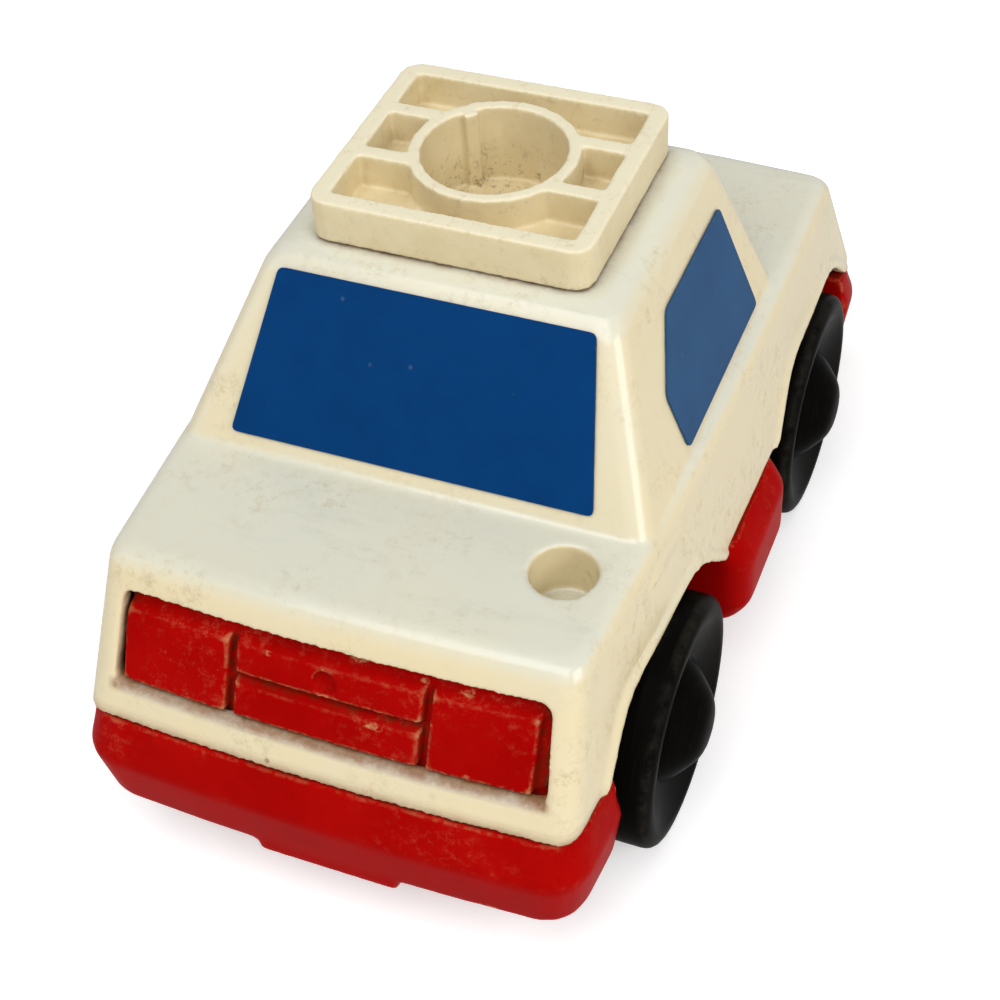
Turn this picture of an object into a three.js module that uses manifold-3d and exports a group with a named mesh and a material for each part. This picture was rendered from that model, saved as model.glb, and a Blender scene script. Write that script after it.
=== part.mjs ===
// A toy police car: a hollow moulded body on a chassis that carries the bumpers, the sills and the lamp
// panels, a socketed tray on the roof, and wheels pressed on two steel axles that snap in from below.
// Millimetres, +Z up, the nose faces +Y, and the origin is on the ground under the middle of the car.
import * as THREE from "three";
import { mergeVertices } from "three/addons/utils/BufferGeometryUtils.js";
import Module from "manifold-3d";

const wasm = await Module();
wasm.setup();

// Walls and clearances
const WALL = 2.2; // moulded wall of the body and the chassis
const GAP = 0.3; // clearance between pieces that seat on each other
const INNER_CORNER = 0.4; // corners of hollows and pockets
const LABEL_THICKNESS = 0.25;
const LABEL_GAP = 0.1; // the film of glue under a label

// Body
const SKIRT_Z = 25.4; // lower edge of the body
const DECK_Z = 44.75; // top of the front and rear decks
const ROOF_Z = 65.1;
const SKIRT_HALF_WIDTH = 34.1;
const SIDE_RAKE = 2.5; // how much narrower the decks are than the skirt
const SKIRT_HALF_LENGTH = 57.3;
const END_RAKE = 9; // how much shorter the decks are than the skirt at each end
const SIDE_BOW = 2.2; // how far the sides draw in towards the tail
const SIDE_BOW_REACH = 62; // distance from the widest point at which they have drawn in that far
const WIDEST_Y = 20;
const END_BOW = 1; // how far the nose and the tail fall back at their corners
const BODY_CORNER = 2.4;
const DECK_EDGE = 1.6; // rounding of the edge round the decks
const SHOULDER = 2; // from the edge of the decks to the cabin's side
const CABIN_REAR_Y = -27.7;
const CABIN_FRONT_Y = 24.2;
const CABIN_LEAN = 8; // how far the cabin's sides lean in up to the roof
const ROOF_REAR_Y = -14.1;
const ROOF_FRONT_Y = 20.7;
const CABIN_CORNER = 2.2;
const ROOF_EDGE = 2.2;

// Wheel arches, lamp openings and the deck hole
const ARCH_FOOT = 18.7; // half-width at the skirt
const ARCH_HEAD = 11; // half-width at the top
const ARCH_RISE = 7;
const ARCH_FILLET = 4;
const ARCH_LIP_WIDTH = 1.2;
const ARCH_LIP_HEIGHT = 0.5;
const OPENING_SILL = 3.8; // height of the rail under a lamp opening
const OPENING_HEIGHT = 11.4;
const OPENING_FOOT_MARGIN = 7.1; // from the side of the skirt
const OPENING_HEAD_MARGIN = 5.4; // from the side of the decks
const OPENING_FILLET = 1.5;
const DECK_HOLE_X = 22;
const DECK_HOLE_INSET = 6.3; // behind the foot of the rear window
const DECK_HOLE_RADIUS = 3.95;
const DECK_HOLE_DEPTH = 7;
const CUP_WALL = 1.6;

// Window labels
const END_LABEL_FOOT_MARGIN = 6.7; // from the cabin's side at the decks
const END_LABEL_HEAD_MARGIN = 2; // from the side of the roof
const END_LABEL_DROP = 1.7; // from the roof to the top edge of the rear and front labels
const END_LABEL_RISE = 1.7; // from the deck to their bottom edge
const SIDE_LABEL_REAR_Y = -11.7;
const SIDE_LABEL_FRONT_Y = 16.3;
const SIDE_LABEL_RISE = 0.9;
const SIDE_LABEL_TOP = 14.6; // height of the top edge above the deck
const SIDE_LABEL_CUT_Y = 7.4; // length of the cut-off rear top corner
const SIDE_LABEL_CUT_Z = 6.6;
const LABEL_FILLET = 0.8;

// Roof tray
const TRAY_HALF_WIDTH = 17.4;
const TRAY_REAR_Y = -11.6;
const TRAY_FRONT_Y = 19.1;
const TRAY_HEIGHT = 5.5;
const TRAY_WALL = 2.4;
const TRAY_CORNER = 2.4;
const TRAY_FLOOR = 1.2;
const WEB_OFFSET = 4.75; // distance of each web from the socket's centre
const WEB_THICKNESS = 2.2;
const SOCKET_Y = 4.3;
const SOCKET_RADIUS = 8.8;
const SOCKET_WALL = 1.6;
const SOCKET_DEPTH = 10.4;
const KEY_WIDTH = 1.8; // rib inside the socket that stops a lamp from turning
const KEY_HEIGHT = 1.1;
const KEY_ANGLE = 2.3; // radians round from +X

// Chassis
const FLOOR_Z = 11.4; // underside
const BUMPER_LINE_Z = 19.6; // the bumper's most prominent line
const BUMPER_PROUD = 2.3; // how far that line stands out past the skirt's ends
const BUMPER_SIDE = 1.2; // and past its sides
const BUMPER_TUCK = 1.2; // how far the bumper's bottom draws back
const BUMPER_CORNER = 4.4;
const PLATE_HALF_WIDTH = 9.2; // the deeper block in the middle of each bumper
const PLATE_DROP = 1.8;
const PLATE_LENGTH = 9;
const SILL_REAR_SETBACK = 20.65; // from the rear axle to the sill
const SILL_FRONT_SETBACK = 19.95; // from the front axle to the sill
const SILL_PROUD = 2.2; // how far a sill stands out past the skirt
const SILL_LINE_Z = 21.6; // the sill's outermost line
const SILL_TUCK = 1.6; // how far its foot draws in
const SILL_FOOT_HEIGHT = 2.5;
const SILL_CORNER = 3;
const AXLE_BEAM_WALL = 2.2;
const SNAP_MOUTH = 3.6; // width of the slot that an axle snaps through
const LAMP_PROUD = 1.7; // height of the lamp blocks on their panel
const LAMP_GROOVE = 0.8; // groove between two blocks
const LAMP_SPLIT_X = 12; // grooves beside the middle blocks
const LAMP_SPLIT_Z = 2.9; // height of the middle groove above the opening's lower edge
const LOCK_RADIUS = 1.1;
const LOCK_DEPTH = 0.6;
const LOCK_Z = 7; // height above the opening's lower edge

// Wheels and axles
const WHEEL_RADIUS = 15.9;
const WHEEL_WIDTH = 12;
const WHEEL_PROUD = 0.4; // how far a sidewall stands out past the skirt
const WHEEL_CLEARANCE = 1.2; // from a wheel to the chassis
const WHEEL_SHOULDER = 2.2; // rounding of the tread's outer edge
const WHEEL_BACK_EDGE = 0.7; // chamfer of its inner edge
const WHEEL_WALL = 2.4;
const HUB_RADIUS = 8;
const HUB_HEIGHT = 3.5;
const HUB_CROWN = 6; // radius at which the dome turns up
const HUB_BOSS = 4.6; // radius of the boss that grips the axle
const SIDEWALL_GROOVE = 0.7; // depth of the dish between the hub and the sidewall
const DISH_RADIUS = 10.4;
const SIDEWALL_RADIUS = 11.6; // inner edge of the flat sidewall
const REAR_OVERHANG = 29.35; // from the end of the skirt to the rear axle
const FRONT_OVERHANG = 24.85;
const AXLE_RADIUS = 2;
const AXLE_FIT = 0.15; // radial clearance that the model keeps in a pressed hub

// Screws and their bosses
const SCREW_X = 12;
const SCREW_INSET = 16.4; // from the end of the skirt to a pair of screws
const SCREW_RADIUS = 1.4;
const SCREW_LENGTH = 12;
const SCREW_HEAD_RADIUS = 2.8;
const SCREW_HEAD_HEIGHT = 2;
const SCREW_HEAD_FLAT = 1.7; // radius of the flat top of a head
const SCREW_RECESS = 1.1; // depth of the driver's cross
const SCREW_CROSS_HALF_WIDTH = 0.5;
const BOSS_RADIUS = 3.4;
const WELL_DEPTH = 3.2; // from the chassis' underside to the seat of a screw's head

// Facets
const CORNER_STEPS = 3;
const SIDE_STEPS = 5;
const ROUND_SIDES = 24;
const WHEEL_SIDES = 32;
const MERGE_DISTANCE = 1e-4;

// Sizes that follow
const DECK_HALF_WIDTH = SKIRT_HALF_WIDTH - SIDE_RAKE;
const DECK_HALF_LENGTH = SKIRT_HALF_LENGTH - END_RAKE;
const CABIN_HALF_WIDTH = DECK_HALF_WIDTH - SHOULDER; // at the decks
const ROOF_HALF_WIDTH = CABIN_HALF_WIDTH - CABIN_LEAN;
const OPENING_FOOT = SKIRT_HALF_WIDTH - OPENING_FOOT_MARGIN; // half-width at the bottom
const OPENING_HEAD = DECK_HALF_WIDTH - OPENING_HEAD_MARGIN; // half-width at the top
const END_LABEL_FOOT = CABIN_HALF_WIDTH - END_LABEL_FOOT_MARGIN;
const END_LABEL_HEAD = ROOF_HALF_WIDTH - END_LABEL_HEAD_MARGIN;
const SILL_HALF_WIDTH = SKIRT_HALF_WIDTH + SILL_PROUD;
const TRACK_HALF_WIDTH = SKIRT_HALF_WIDTH + WHEEL_PROUD; // outer sidewall of a wheel
const AXLE_Z = WHEEL_RADIUS;
const REAR_AXLE_Y = REAR_OVERHANG - SKIRT_HALF_LENGTH;
const FRONT_AXLE_Y = SKIRT_HALF_LENGTH - FRONT_OVERHANG;
const SILL_REAR_Y = REAR_AXLE_Y + SILL_REAR_SETBACK;
const SILL_FRONT_Y = FRONT_AXLE_Y - SILL_FRONT_SETBACK;
const DECK_HOLE_Y = CABIN_REAR_Y - DECK_HOLE_INSET;
const DECK_UNDER_Z = DECK_Z - WALL;
const CHASSIS_TOP_Z = SKIRT_Z - GAP;
const FLOOR_TOP_Z = FLOOR_Z + WALL;
const OPENING_Z = SKIRT_Z + OPENING_SILL;
const OPENING_TOP_Z = OPENING_Z + OPENING_HEIGHT;
const SPINE_HALF_WIDTH = TRACK_HALF_WIDTH - WHEEL_WIDTH - WHEEL_CLEARANCE;
const END_REAR_Y = REAR_AXLE_Y - WHEEL_RADIUS - WHEEL_CLEARANCE;
const END_FRONT_Y = FRONT_AXLE_Y + WHEEL_RADIUS + WHEEL_CLEARANCE;
const SCREW_SEAT_Z = FLOOR_Z + WELL_DEPTH;
const WELL_TOP_Z = SCREW_SEAT_Z + WALL;
const TRAY_BOTTOM_Z = ROOF_Z + GAP;
const TRAY_TOP_Z = TRAY_BOTTOM_Z + TRAY_HEIGHT;
const SOCKET_FLOOR_Z = TRAY_TOP_Z - SOCKET_DEPTH;
const FAR = 200; // longer than the car, for cuts that go right through

const X_AXIS = new THREE.Vector3(1, 0, 0);
const Y_AXIS = new THREE.Vector3(0, 1, 0);
const Z_AXIS = new THREE.Vector3(0, 0, 1);
const mix = THREE.MathUtils.lerp;

// Solids and their booleans

function solid(geometry) {
  const bare = geometry.index ? geometry.toNonIndexed() : geometry.clone();
  bare.deleteAttribute("normal");
  bare.deleteAttribute("uv");
  const merged = mergeVertices(bare, MERGE_DISTANCE);
  const mesh = new wasm.Mesh({
    numProp: 3,
    vertProperties: new Float32Array(merged.attributes.position.array),
    triVerts: new Uint32Array(merged.index.array),
  });
  return new wasm.Manifold(mesh);
}

function geometryOf(manifold) {
  const mesh = manifold.getMesh();
  const geometry = new THREE.BufferGeometry();
  geometry.setAttribute("position", new THREE.BufferAttribute(new Float32Array(mesh.vertProperties), 3));
  geometry.setIndex(new THREE.BufferAttribute(new Uint32Array(mesh.triVerts), 1));
  geometry.computeVertexNormals();
  return geometry;
}

function join(...solids) {
  return solids.reduce((whole, piece) => whole.add(piece));
}

function box(x0, x1, y0, y1, z0, z1) {
  const geometry = new THREE.BoxGeometry(x1 - x0, y1 - y0, z1 - z0);
  return solid(geometry.translate((x0 + x1) / 2, (y0 + y1) / 2, (z0 + z1) / 2));
}

// An upright round bar.
function bar(x, y, radius, z0, z1) {
  const geometry = new THREE.CylinderGeometry(radius, radius, z1 - z0, ROUND_SIDES);
  return solid(geometry.rotateX(Math.PI / 2).translate(x, y, (z0 + z1) / 2));
}

// A straight-sided outline whose corners are rounded, each no further than half of its sides.
function rounded(corners, fillet) {
  const points = corners.map(([u, v]) => new THREE.Vector2(u, v));
  const shape = new THREE.Shape();
  points.forEach((corner, i) => {
    const before = points.at(i - 1);
    const after = points[(i + 1) % points.length];
    const back = Math.min(fillet, before.distanceTo(corner) / 2);
    const ahead = Math.min(fillet, after.distanceTo(corner) / 2);
    const start = before.clone().sub(corner).setLength(back).add(corner);
    const end = after.clone().sub(corner).setLength(ahead).add(corner);
    if (i === 0) shape.moveTo(start.x, start.y);
    else shape.lineTo(start.x, start.y);
    shape.quadraticCurveTo(corner.x, corner.y, end.x, end.y);
  });
  shape.closePath();
  return shape;
}

function extrude(shape, depth) {
  return new THREE.ExtrudeGeometry(shape, { depth, bevelEnabled: false, curveSegments: CORNER_STEPS });
}

// An outline in the Y Z plane, extruded across the car.
function across(shape, halfWidth) {
  const turn = new THREE.Matrix4().makeBasis(Y_AXIS, Z_AXIS, X_AXIS);
  return solid(extrude(shape, 2 * halfWidth).applyMatrix4(turn).translate(-halfWidth, 0, 0));
}

// An outline in the X Z plane, extruded along the car from rear to front.
function along(shape, rear, front) {
  const turn = new THREE.Matrix4().makeBasis(X_AXIS, Z_AXIS, Y_AXIS.clone().negate());
  return solid(extrude(shape, front - rear).applyMatrix4(turn).translate(0, front, 0));
}

// A rounded rectangle in plan, with points along its sides so that they can bow.
function plan(halfWidth, rear, front, corner) {
  const outline = [];
  const halfLength = (front - rear) / 2;
  const quarters = [[1, -1], [1, 1], [-1, 1], [-1, -1]];
  quarters.forEach(([sx, sy], quarter) => {
    const cx = sx * (halfWidth - corner);
    const cy = (rear + front) / 2 + sy * (halfLength - corner);
    for (let k = 0; k <= CORNER_STEPS; k++) {
      const angle = (quarter - 1 + k / CORNER_STEPS) * Math.PI / 2;
      outline.push([cx + corner * Math.cos(angle), cy + corner * Math.sin(angle)]);
    }
    const upright = quarter % 2 === 0;
    const run = upright ? 2 * (halfLength - corner) : 2 * (halfWidth - corner);
    const [x, y] = outline.at(-1);
    for (let k = 1; k < SIDE_STEPS; k++) {
      const step = run * k / SIDE_STEPS;
      outline.push(upright ? [x, y - sy * step] : [x - sx * step, y]);
    }
  });
  return outline;
}

// The same with sides and ends that fall back towards the corners, as the body's do.
function bowed(halfWidth, halfLength, corner) {
  return plan(halfWidth, -halfLength, halfLength, corner).map(([x, y]) => {
    const reach = (y - WIDEST_Y) / SIDE_BOW_REACH;
    const spread = x / halfWidth;
    return [
      x - spread * SIDE_BOW * reach * reach,
      y - (y / halfLength) * END_BOW * spread * spread,
    ];
  });
}

// A closed skin through outlines of equal count, each at its own height, with flat ends.
function loft(rings) {
  const count = rings[0].outline.length;
  const top = (rings.length - 1) * count;
  const positions = rings.flatMap(({ outline, z }) => outline.flatMap(([x, y]) => [x, y, z]));
  const faces = [];
  for (let i = 0; i < count; i++) {
    const next = (i + 1) % count;
    for (let base = 0; base < top; base += count) {
      faces.push(base + i, base + next, base + count + next);
      faces.push(base + i, base + count + next, base + count + i);
    }
  }
  for (let i = 1; i + 1 < count; i++) {
    faces.push(0, i + 1, i);
    faces.push(top, top + i, top + i + 1);
  }
  const geometry = new THREE.BufferGeometry();
  geometry.setAttribute("position", new THREE.Float32BufferAttribute(positions, 3));
  geometry.setIndex(faces);
  return solid(geometry);
}

// An outline carried straight up.
function prism(outline, z0, z1) {
  return loft([{ outline, z: z0 }, { outline, z: z1 }]);
}

// Heights and insets of a rounded edge that ends at the height z.
function edgeSteps(z, radius) {
  return [0, Math.PI / 4, Math.PI / 2].map((angle) => ({
    z: z - radius * (1 - Math.sin(angle)),
    inset: radius * (1 - Math.cos(angle)),
  }));
}

// Body

// The body up to the decks, drawn in by an inset and carried on down to a lower height.
function lowerBody(inset, bottom, top) {
  const ring = (z, extra) => {
    const share = (z - SKIRT_Z) / (DECK_Z - SKIRT_Z);
    const halfWidth = mix(SKIRT_HALF_WIDTH, DECK_HALF_WIDTH, share) - inset - extra;
    const halfLength = mix(SKIRT_HALF_LENGTH, DECK_HALF_LENGTH, share) - inset - extra;
    return { outline: bowed(halfWidth, halfLength, BODY_CORNER), z };
  };
  const edge = edgeSteps(top, DECK_EDGE).map((step) => ring(step.z, step.inset));
  return loft([ring(bottom, 0), ...edge]);
}

// The cabin above the decks, carried on down to a lower height.
function cabin(inset, bottom, top) {
  const ring = (z, extra) => {
    const share = (z - DECK_Z) / (ROOF_Z - DECK_Z);
    const less = inset + extra;
    const outline = plan(
      mix(CABIN_HALF_WIDTH, ROOF_HALF_WIDTH, share) - less,
      mix(CABIN_REAR_Y, ROOF_REAR_Y, share) + less,
      mix(CABIN_FRONT_Y, ROOF_FRONT_Y, share) - less,
      CABIN_CORNER,
    );
    return { outline, z };
  };
  const edge = edgeSteps(top, ROOF_EDGE).map((step) => ring(step.z, step.inset));
  return loft([ring(bottom, 0), ...edge]);
}

function archOutline(axleY, grow) {
  const foot = ARCH_FOOT + grow;
  const head = ARCH_HEAD + grow;
  const slope = (ARCH_FOOT - ARCH_HEAD) / ARCH_RISE;
  const below = ARCH_RISE;
  const corners = [
    [axleY - foot - slope * below, SKIRT_Z - below],
    [axleY + foot + slope * below, SKIRT_Z - below],
    [axleY + head, SKIRT_Z + ARCH_RISE + grow],
    [axleY - head, SKIRT_Z + ARCH_RISE + grow],
  ];
  return rounded(corners, ARCH_FILLET);
}

function openingOutline(grow) {
  const corners = [
    [-OPENING_FOOT - grow, OPENING_Z - grow],
    [OPENING_FOOT + grow, OPENING_Z - grow],
    [OPENING_HEAD + grow, OPENING_TOP_Z + grow],
    [-OPENING_HEAD - grow, OPENING_TOP_Z + grow],
  ];
  return rounded(corners, OPENING_FILLET);
}

function screwPlaces() {
  const y = SKIRT_HALF_LENGTH - SCREW_INSET;
  return [
    ["rear_left", -SCREW_X, -y],
    ["rear_right", SCREW_X, -y],
    ["front_left", -SCREW_X, y],
    ["front_right", SCREW_X, y],
  ];
}

function bodyShell() {
  const overlap = DECK_UNDER_Z - WALL;
  const outside = lowerBody(0, SKIRT_Z, DECK_Z).add(cabin(0, overlap, ROOF_Z));
  const cave = cabin(WALL, overlap - WALL, ROOF_Z - WALL);
  const inside = lowerBody(WALL, SKIRT_Z - WALL, DECK_UNDER_Z).add(cave);
  const proud = lowerBody(-ARCH_LIP_HEIGHT, SKIRT_Z, DECK_Z);
  let shell = outside;
  for (const axleY of [REAR_AXLE_Y, FRONT_AXLE_Y]) {
    const lip = across(archOutline(axleY, ARCH_LIP_WIDTH), FAR);
    shell = shell.add(proud.intersect(lip));
  }
  shell = shell.subtract(inside);
  for (const axleY of [REAR_AXLE_Y, FRONT_AXLE_Y]) {
    shell = shell.subtract(across(archOutline(axleY, 0), FAR));
  }
  shell = shell.subtract(along(openingOutline(0), -FAR, FAR));
  const tubeRadius = SOCKET_RADIUS + SOCKET_WALL + GAP;
  shell = shell.subtract(bar(0, SOCKET_Y, tubeRadius, ROOF_Z - 2 * WALL, ROOF_Z + WALL));
  const cupFloor = DECK_Z - DECK_HOLE_DEPTH;
  const cupRadius = DECK_HOLE_RADIUS + CUP_WALL;
  shell = shell.add(bar(DECK_HOLE_X, DECK_HOLE_Y, cupRadius, cupFloor - CUP_WALL, DECK_UNDER_Z + GAP));
  shell = shell.subtract(bar(DECK_HOLE_X, DECK_HOLE_Y, DECK_HOLE_RADIUS, cupFloor, DECK_Z + WALL));
  for (const [, x, y] of screwPlaces()) {
    shell = shell.add(bar(x, y, BOSS_RADIUS, WELL_TOP_Z + GAP, DECK_UNDER_Z + GAP));
    shell = shell.subtract(bar(x, y, SCREW_RADIUS + GAP, WELL_TOP_Z, SCREW_SEAT_Z + SCREW_LENGTH + GAP));
  }
  return shell;
}

// Roof tray

function roofTray() {
  const outer = (inset) => plan(
    TRAY_HALF_WIDTH - inset,
    TRAY_REAR_Y + inset,
    TRAY_FRONT_Y - inset,
    Math.max(TRAY_CORNER - inset, INNER_CORNER),
  );
  const slab = (inset, z0, z1) => prism(outer(inset), z0, z1);
  const pocketFloor = TRAY_BOTTOM_Z + TRAY_FLOOR;
  const outerRadius = SOCKET_RADIUS + SOCKET_WALL;
  let tray = slab(0, TRAY_BOTTOM_Z, TRAY_TOP_Z).subtract(slab(TRAY_WALL, pocketFloor, TRAY_TOP_Z + WALL));
  for (const side of [-1, 1]) {
    const y = SOCKET_Y + side * WEB_OFFSET;
    const reach = TRAY_HALF_WIDTH - TRAY_WALL / 2;
    const half = WEB_THICKNESS / 2;
    tray = tray.add(box(-reach, reach, y - half, y + half, TRAY_BOTTOM_Z, TRAY_TOP_Z));
  }
  tray = tray.add(bar(0, SOCKET_Y, outerRadius, SOCKET_FLOOR_Z - SOCKET_WALL, TRAY_TOP_Z));
  tray = tray.subtract(bar(0, SOCKET_Y, SOCKET_RADIUS, SOCKET_FLOOR_Z, TRAY_TOP_Z + WALL));
  const keyRoot = KEY_HEIGHT + SOCKET_WALL / 2;
  const key = new THREE.BoxGeometry(keyRoot, KEY_WIDTH, SOCKET_DEPTH);
  key.translate(SOCKET_RADIUS - KEY_HEIGHT + keyRoot / 2, 0, TRAY_TOP_Z - SOCKET_DEPTH / 2);
  return tray.add(solid(key.rotateZ(KEY_ANGLE).translate(0, SOCKET_Y, 0)));
}

// Chassis

// Both bumpers as the ends of one long form, drawn in by an inset.
function bumperForm(inset, bottom) {
  const ring = (z, sides, ends) => ({
    outline: bowed(SKIRT_HALF_WIDTH + sides - inset, SKIRT_HALF_LENGTH + ends - inset, BUMPER_CORNER),
    z,
  });
  return loft([
    ring(bottom, BUMPER_SIDE - BUMPER_TUCK, BUMPER_PROUD - BUMPER_TUCK),
    ring(BUMPER_LINE_Z, BUMPER_SIDE, BUMPER_PROUD),
    ring(CHASSIS_TOP_Z, 0, 0),
  ]);
}

// The sills as the two sides of one block across the car, drawn in by an inset.
function sillForm(inset, bottom) {
  const ring = (z, tuck) => ({
    outline: plan(SILL_HALF_WIDTH - tuck - inset, SILL_REAR_Y + inset, SILL_FRONT_Y - inset, SILL_CORNER),
    z,
  });
  return loft([
    ring(bottom, SILL_TUCK),
    ring(bottom + SILL_FOOT_HEIGHT, 0),
    ring(SILL_LINE_Z, 0),
    ring(CHASSIS_TOP_Z, SILL_PROUD),
  ]);
}

function endZones(inset) {
  const rear = box(-FAR, FAR, -FAR, END_REAR_Y - inset, -FAR, FAR);
  return rear.add(box(-FAR, FAR, END_FRONT_Y + inset, FAR, -FAR, FAR));
}

// The panel that stands up inside each lamp opening, with its raised blocks.
function lampPanels() {
  const backing = WALL + GAP;
  const bottom = BUMPER_LINE_Z;
  const skin = (from, to) => {
    const back = lowerBody(to, bottom - WALL, DECK_Z);
    return lowerBody(from, bottom, DECK_UNDER_Z).subtract(back);
  };
  const margin = WALL / 2;
  const standing = [
    [-OPENING_FOOT - margin, bottom],
    [OPENING_FOOT + margin, bottom],
    [OPENING_HEAD, OPENING_TOP_Z + margin / 2],
    [-OPENING_HEAD, OPENING_TOP_Z + margin / 2],
  ];
  const inner = DECK_HALF_LENGTH - 2 * WALL;
  const middle = box(-FAR, FAR, -inner, inner, -FAR, FAR);
  const stand = along(rounded(standing, OPENING_FILLET), -FAR, FAR);
  const plate = skin(backing, backing + WALL).intersect(stand);
  const half = LAMP_GROOVE / 2;
  const window = along(openingOutline(-half), -FAR, FAR);
  let blocks = skin(backing - LAMP_PROUD, backing + GAP).intersect(window);
  for (const x of [-LAMP_SPLIT_X, LAMP_SPLIT_X]) {
    blocks = blocks.subtract(box(x - half, x + half, -FAR, FAR, -FAR, FAR));
  }
  const split = OPENING_Z + LAMP_SPLIT_Z;
  blocks = blocks.subtract(box(-LAMP_SPLIT_X, LAMP_SPLIT_X, -FAR, FAR, split - half, split + half));
  const lockZ = OPENING_Z + LOCK_Z;
  const lockFace = mix(SKIRT_HALF_LENGTH, DECK_HALF_LENGTH, (lockZ - SKIRT_Z) / (DECK_Z - SKIRT_Z));
  const lockY = -lockFace + backing - LAMP_PROUD + LOCK_DEPTH;
  const lock = new THREE.CylinderGeometry(LOCK_RADIUS, LOCK_RADIUS, WALL, ROUND_SIDES);
  blocks = blocks.subtract(solid(lock.translate(0, lockY - WALL / 2, lockZ)));
  return plate.add(blocks).subtract(middle);
}

// The slot that holds an axle: a round seat, and a narrower mouth below it to snap through.
function axleSlot(axleY) {
  const seat = new THREE.CylinderGeometry(AXLE_RADIUS + GAP, AXLE_RADIUS + GAP, FAR, ROUND_SIDES);
  const mouth = box(-FAR / 2, FAR / 2, axleY - SNAP_MOUTH / 2, axleY + SNAP_MOUTH / 2, 0, AXLE_Z);
  return solid(seat.rotateZ(Math.PI / 2).translate(0, axleY, AXLE_Z)).add(mouth);
}

function chassis() {
  const spine = plan(SPINE_HALF_WIDTH, END_REAR_Y - WALL, END_FRONT_Y + WALL, WALL);
  const hollow = plan(SPINE_HALF_WIDTH - WALL, END_REAR_Y - 2 * WALL, END_FRONT_Y + 2 * WALL, INNER_CORNER);
  const above = 2 * CHASSIS_TOP_Z;
  const hollowEnds = bumperForm(WALL, FLOOR_TOP_Z).intersect(endZones(WALL));
  const hollowTop = lowerBody(WALL, CHASSIS_TOP_Z - GAP, DECK_Z).intersect(endZones(WALL));
  let pan = join(
    bumperForm(0, FLOOR_Z).intersect(endZones(0)),
    sillForm(0, FLOOR_Z),
    prism(spine, FLOOR_Z, CHASSIS_TOP_Z),
  );
  const sillTop = plan(SILL_HALF_WIDTH - 3 * WALL, SILL_REAR_Y + WALL, SILL_FRONT_Y - WALL, INNER_CORNER);
  pan = pan.subtract(join(
    hollowEnds,
    hollowTop,
    sillForm(WALL, FLOOR_TOP_Z),
    prism(hollow, FLOOR_TOP_Z, above),
    prism(sillTop, FLOOR_TOP_Z, above),
  ));
  const beam = AXLE_RADIUS + GAP + AXLE_BEAM_WALL;
  for (const axleY of [REAR_AXLE_Y, FRONT_AXLE_Y]) {
    const reach = SPINE_HALF_WIDTH - WALL / 2;
    pan = pan.add(box(-reach, reach, axleY - beam, axleY + beam, FLOOR_Z, AXLE_Z + beam));
    pan = pan.subtract(axleSlot(axleY));
  }
  for (const end of [-1, 1]) {
    const outerY = end * (SKIRT_HALF_LENGTH + BUMPER_PROUD - BUMPER_TUCK);
    const innerY = outerY - end * PLATE_LENGTH;
    const block = box(
      -PLATE_HALF_WIDTH, PLATE_HALF_WIDTH,
      Math.min(outerY, innerY), Math.max(outerY, innerY),
      FLOOR_Z - PLATE_DROP, FLOOR_TOP_Z,
    );
    pan = pan.add(block);
  }
  for (const [, x, y] of screwPlaces()) {
    pan = pan.add(bar(x, y, SCREW_HEAD_RADIUS + GAP + WALL, FLOOR_Z, WELL_TOP_Z));
    pan = pan.subtract(bar(x, y, SCREW_HEAD_RADIUS + GAP, 0, SCREW_SEAT_Z));
    pan = pan.subtract(bar(x, y, SCREW_RADIUS + GAP, 0, WELL_TOP_Z + WALL));
  }
  return pan.add(lampPanels());
}

// Wheels, axles and screws

// A wheel about its own axis, turned to +X, with its outer sidewall at the origin.
function wheelGeometry() {
  const r = WHEEL_RADIUS;
  const tread = r - WHEEL_WALL;
  const dish = -SIDEWALL_GROOVE;
  const bore = AXLE_RADIUS + AXLE_FIT;
  const back = -WHEEL_WIDTH;
  const web = -WHEEL_WALL - SIDEWALL_GROOVE;
  const profile = new THREE.Path();
  profile.moveTo(bore, back);
  profile.lineTo(HUB_BOSS, back);
  profile.lineTo(HUB_BOSS, web);
  profile.lineTo(tread, web);
  profile.lineTo(tread, back);
  profile.lineTo(r - WHEEL_BACK_EDGE, back);
  profile.lineTo(r, back + WHEEL_BACK_EDGE);
  profile.lineTo(r, -WHEEL_SHOULDER);
  profile.quadraticCurveTo(r, 0, r - WHEEL_SHOULDER, 0);
  profile.lineTo(SIDEWALL_RADIUS, 0);
  profile.lineTo(DISH_RADIUS, dish);
  profile.lineTo(HUB_RADIUS, dish);
  profile.quadraticCurveTo(HUB_CROWN, HUB_HEIGHT, 0, HUB_HEIGHT);
  profile.lineTo(0, 0);
  profile.lineTo(bore, 0);
  profile.closePath();
  const geometry = new THREE.LatheGeometry(profile.getPoints(CORNER_STEPS), WHEEL_SIDES);
  return geometryOf(solid(geometry.rotateZ(-Math.PI / 2)));
}

function axleGeometry() {
  const length = 2 * (TRACK_HALF_WIDTH - GAP);
  return new THREE.CylinderGeometry(AXLE_RADIUS, AXLE_RADIUS, length, ROUND_SIDES).rotateZ(Math.PI / 2);
}

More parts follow.
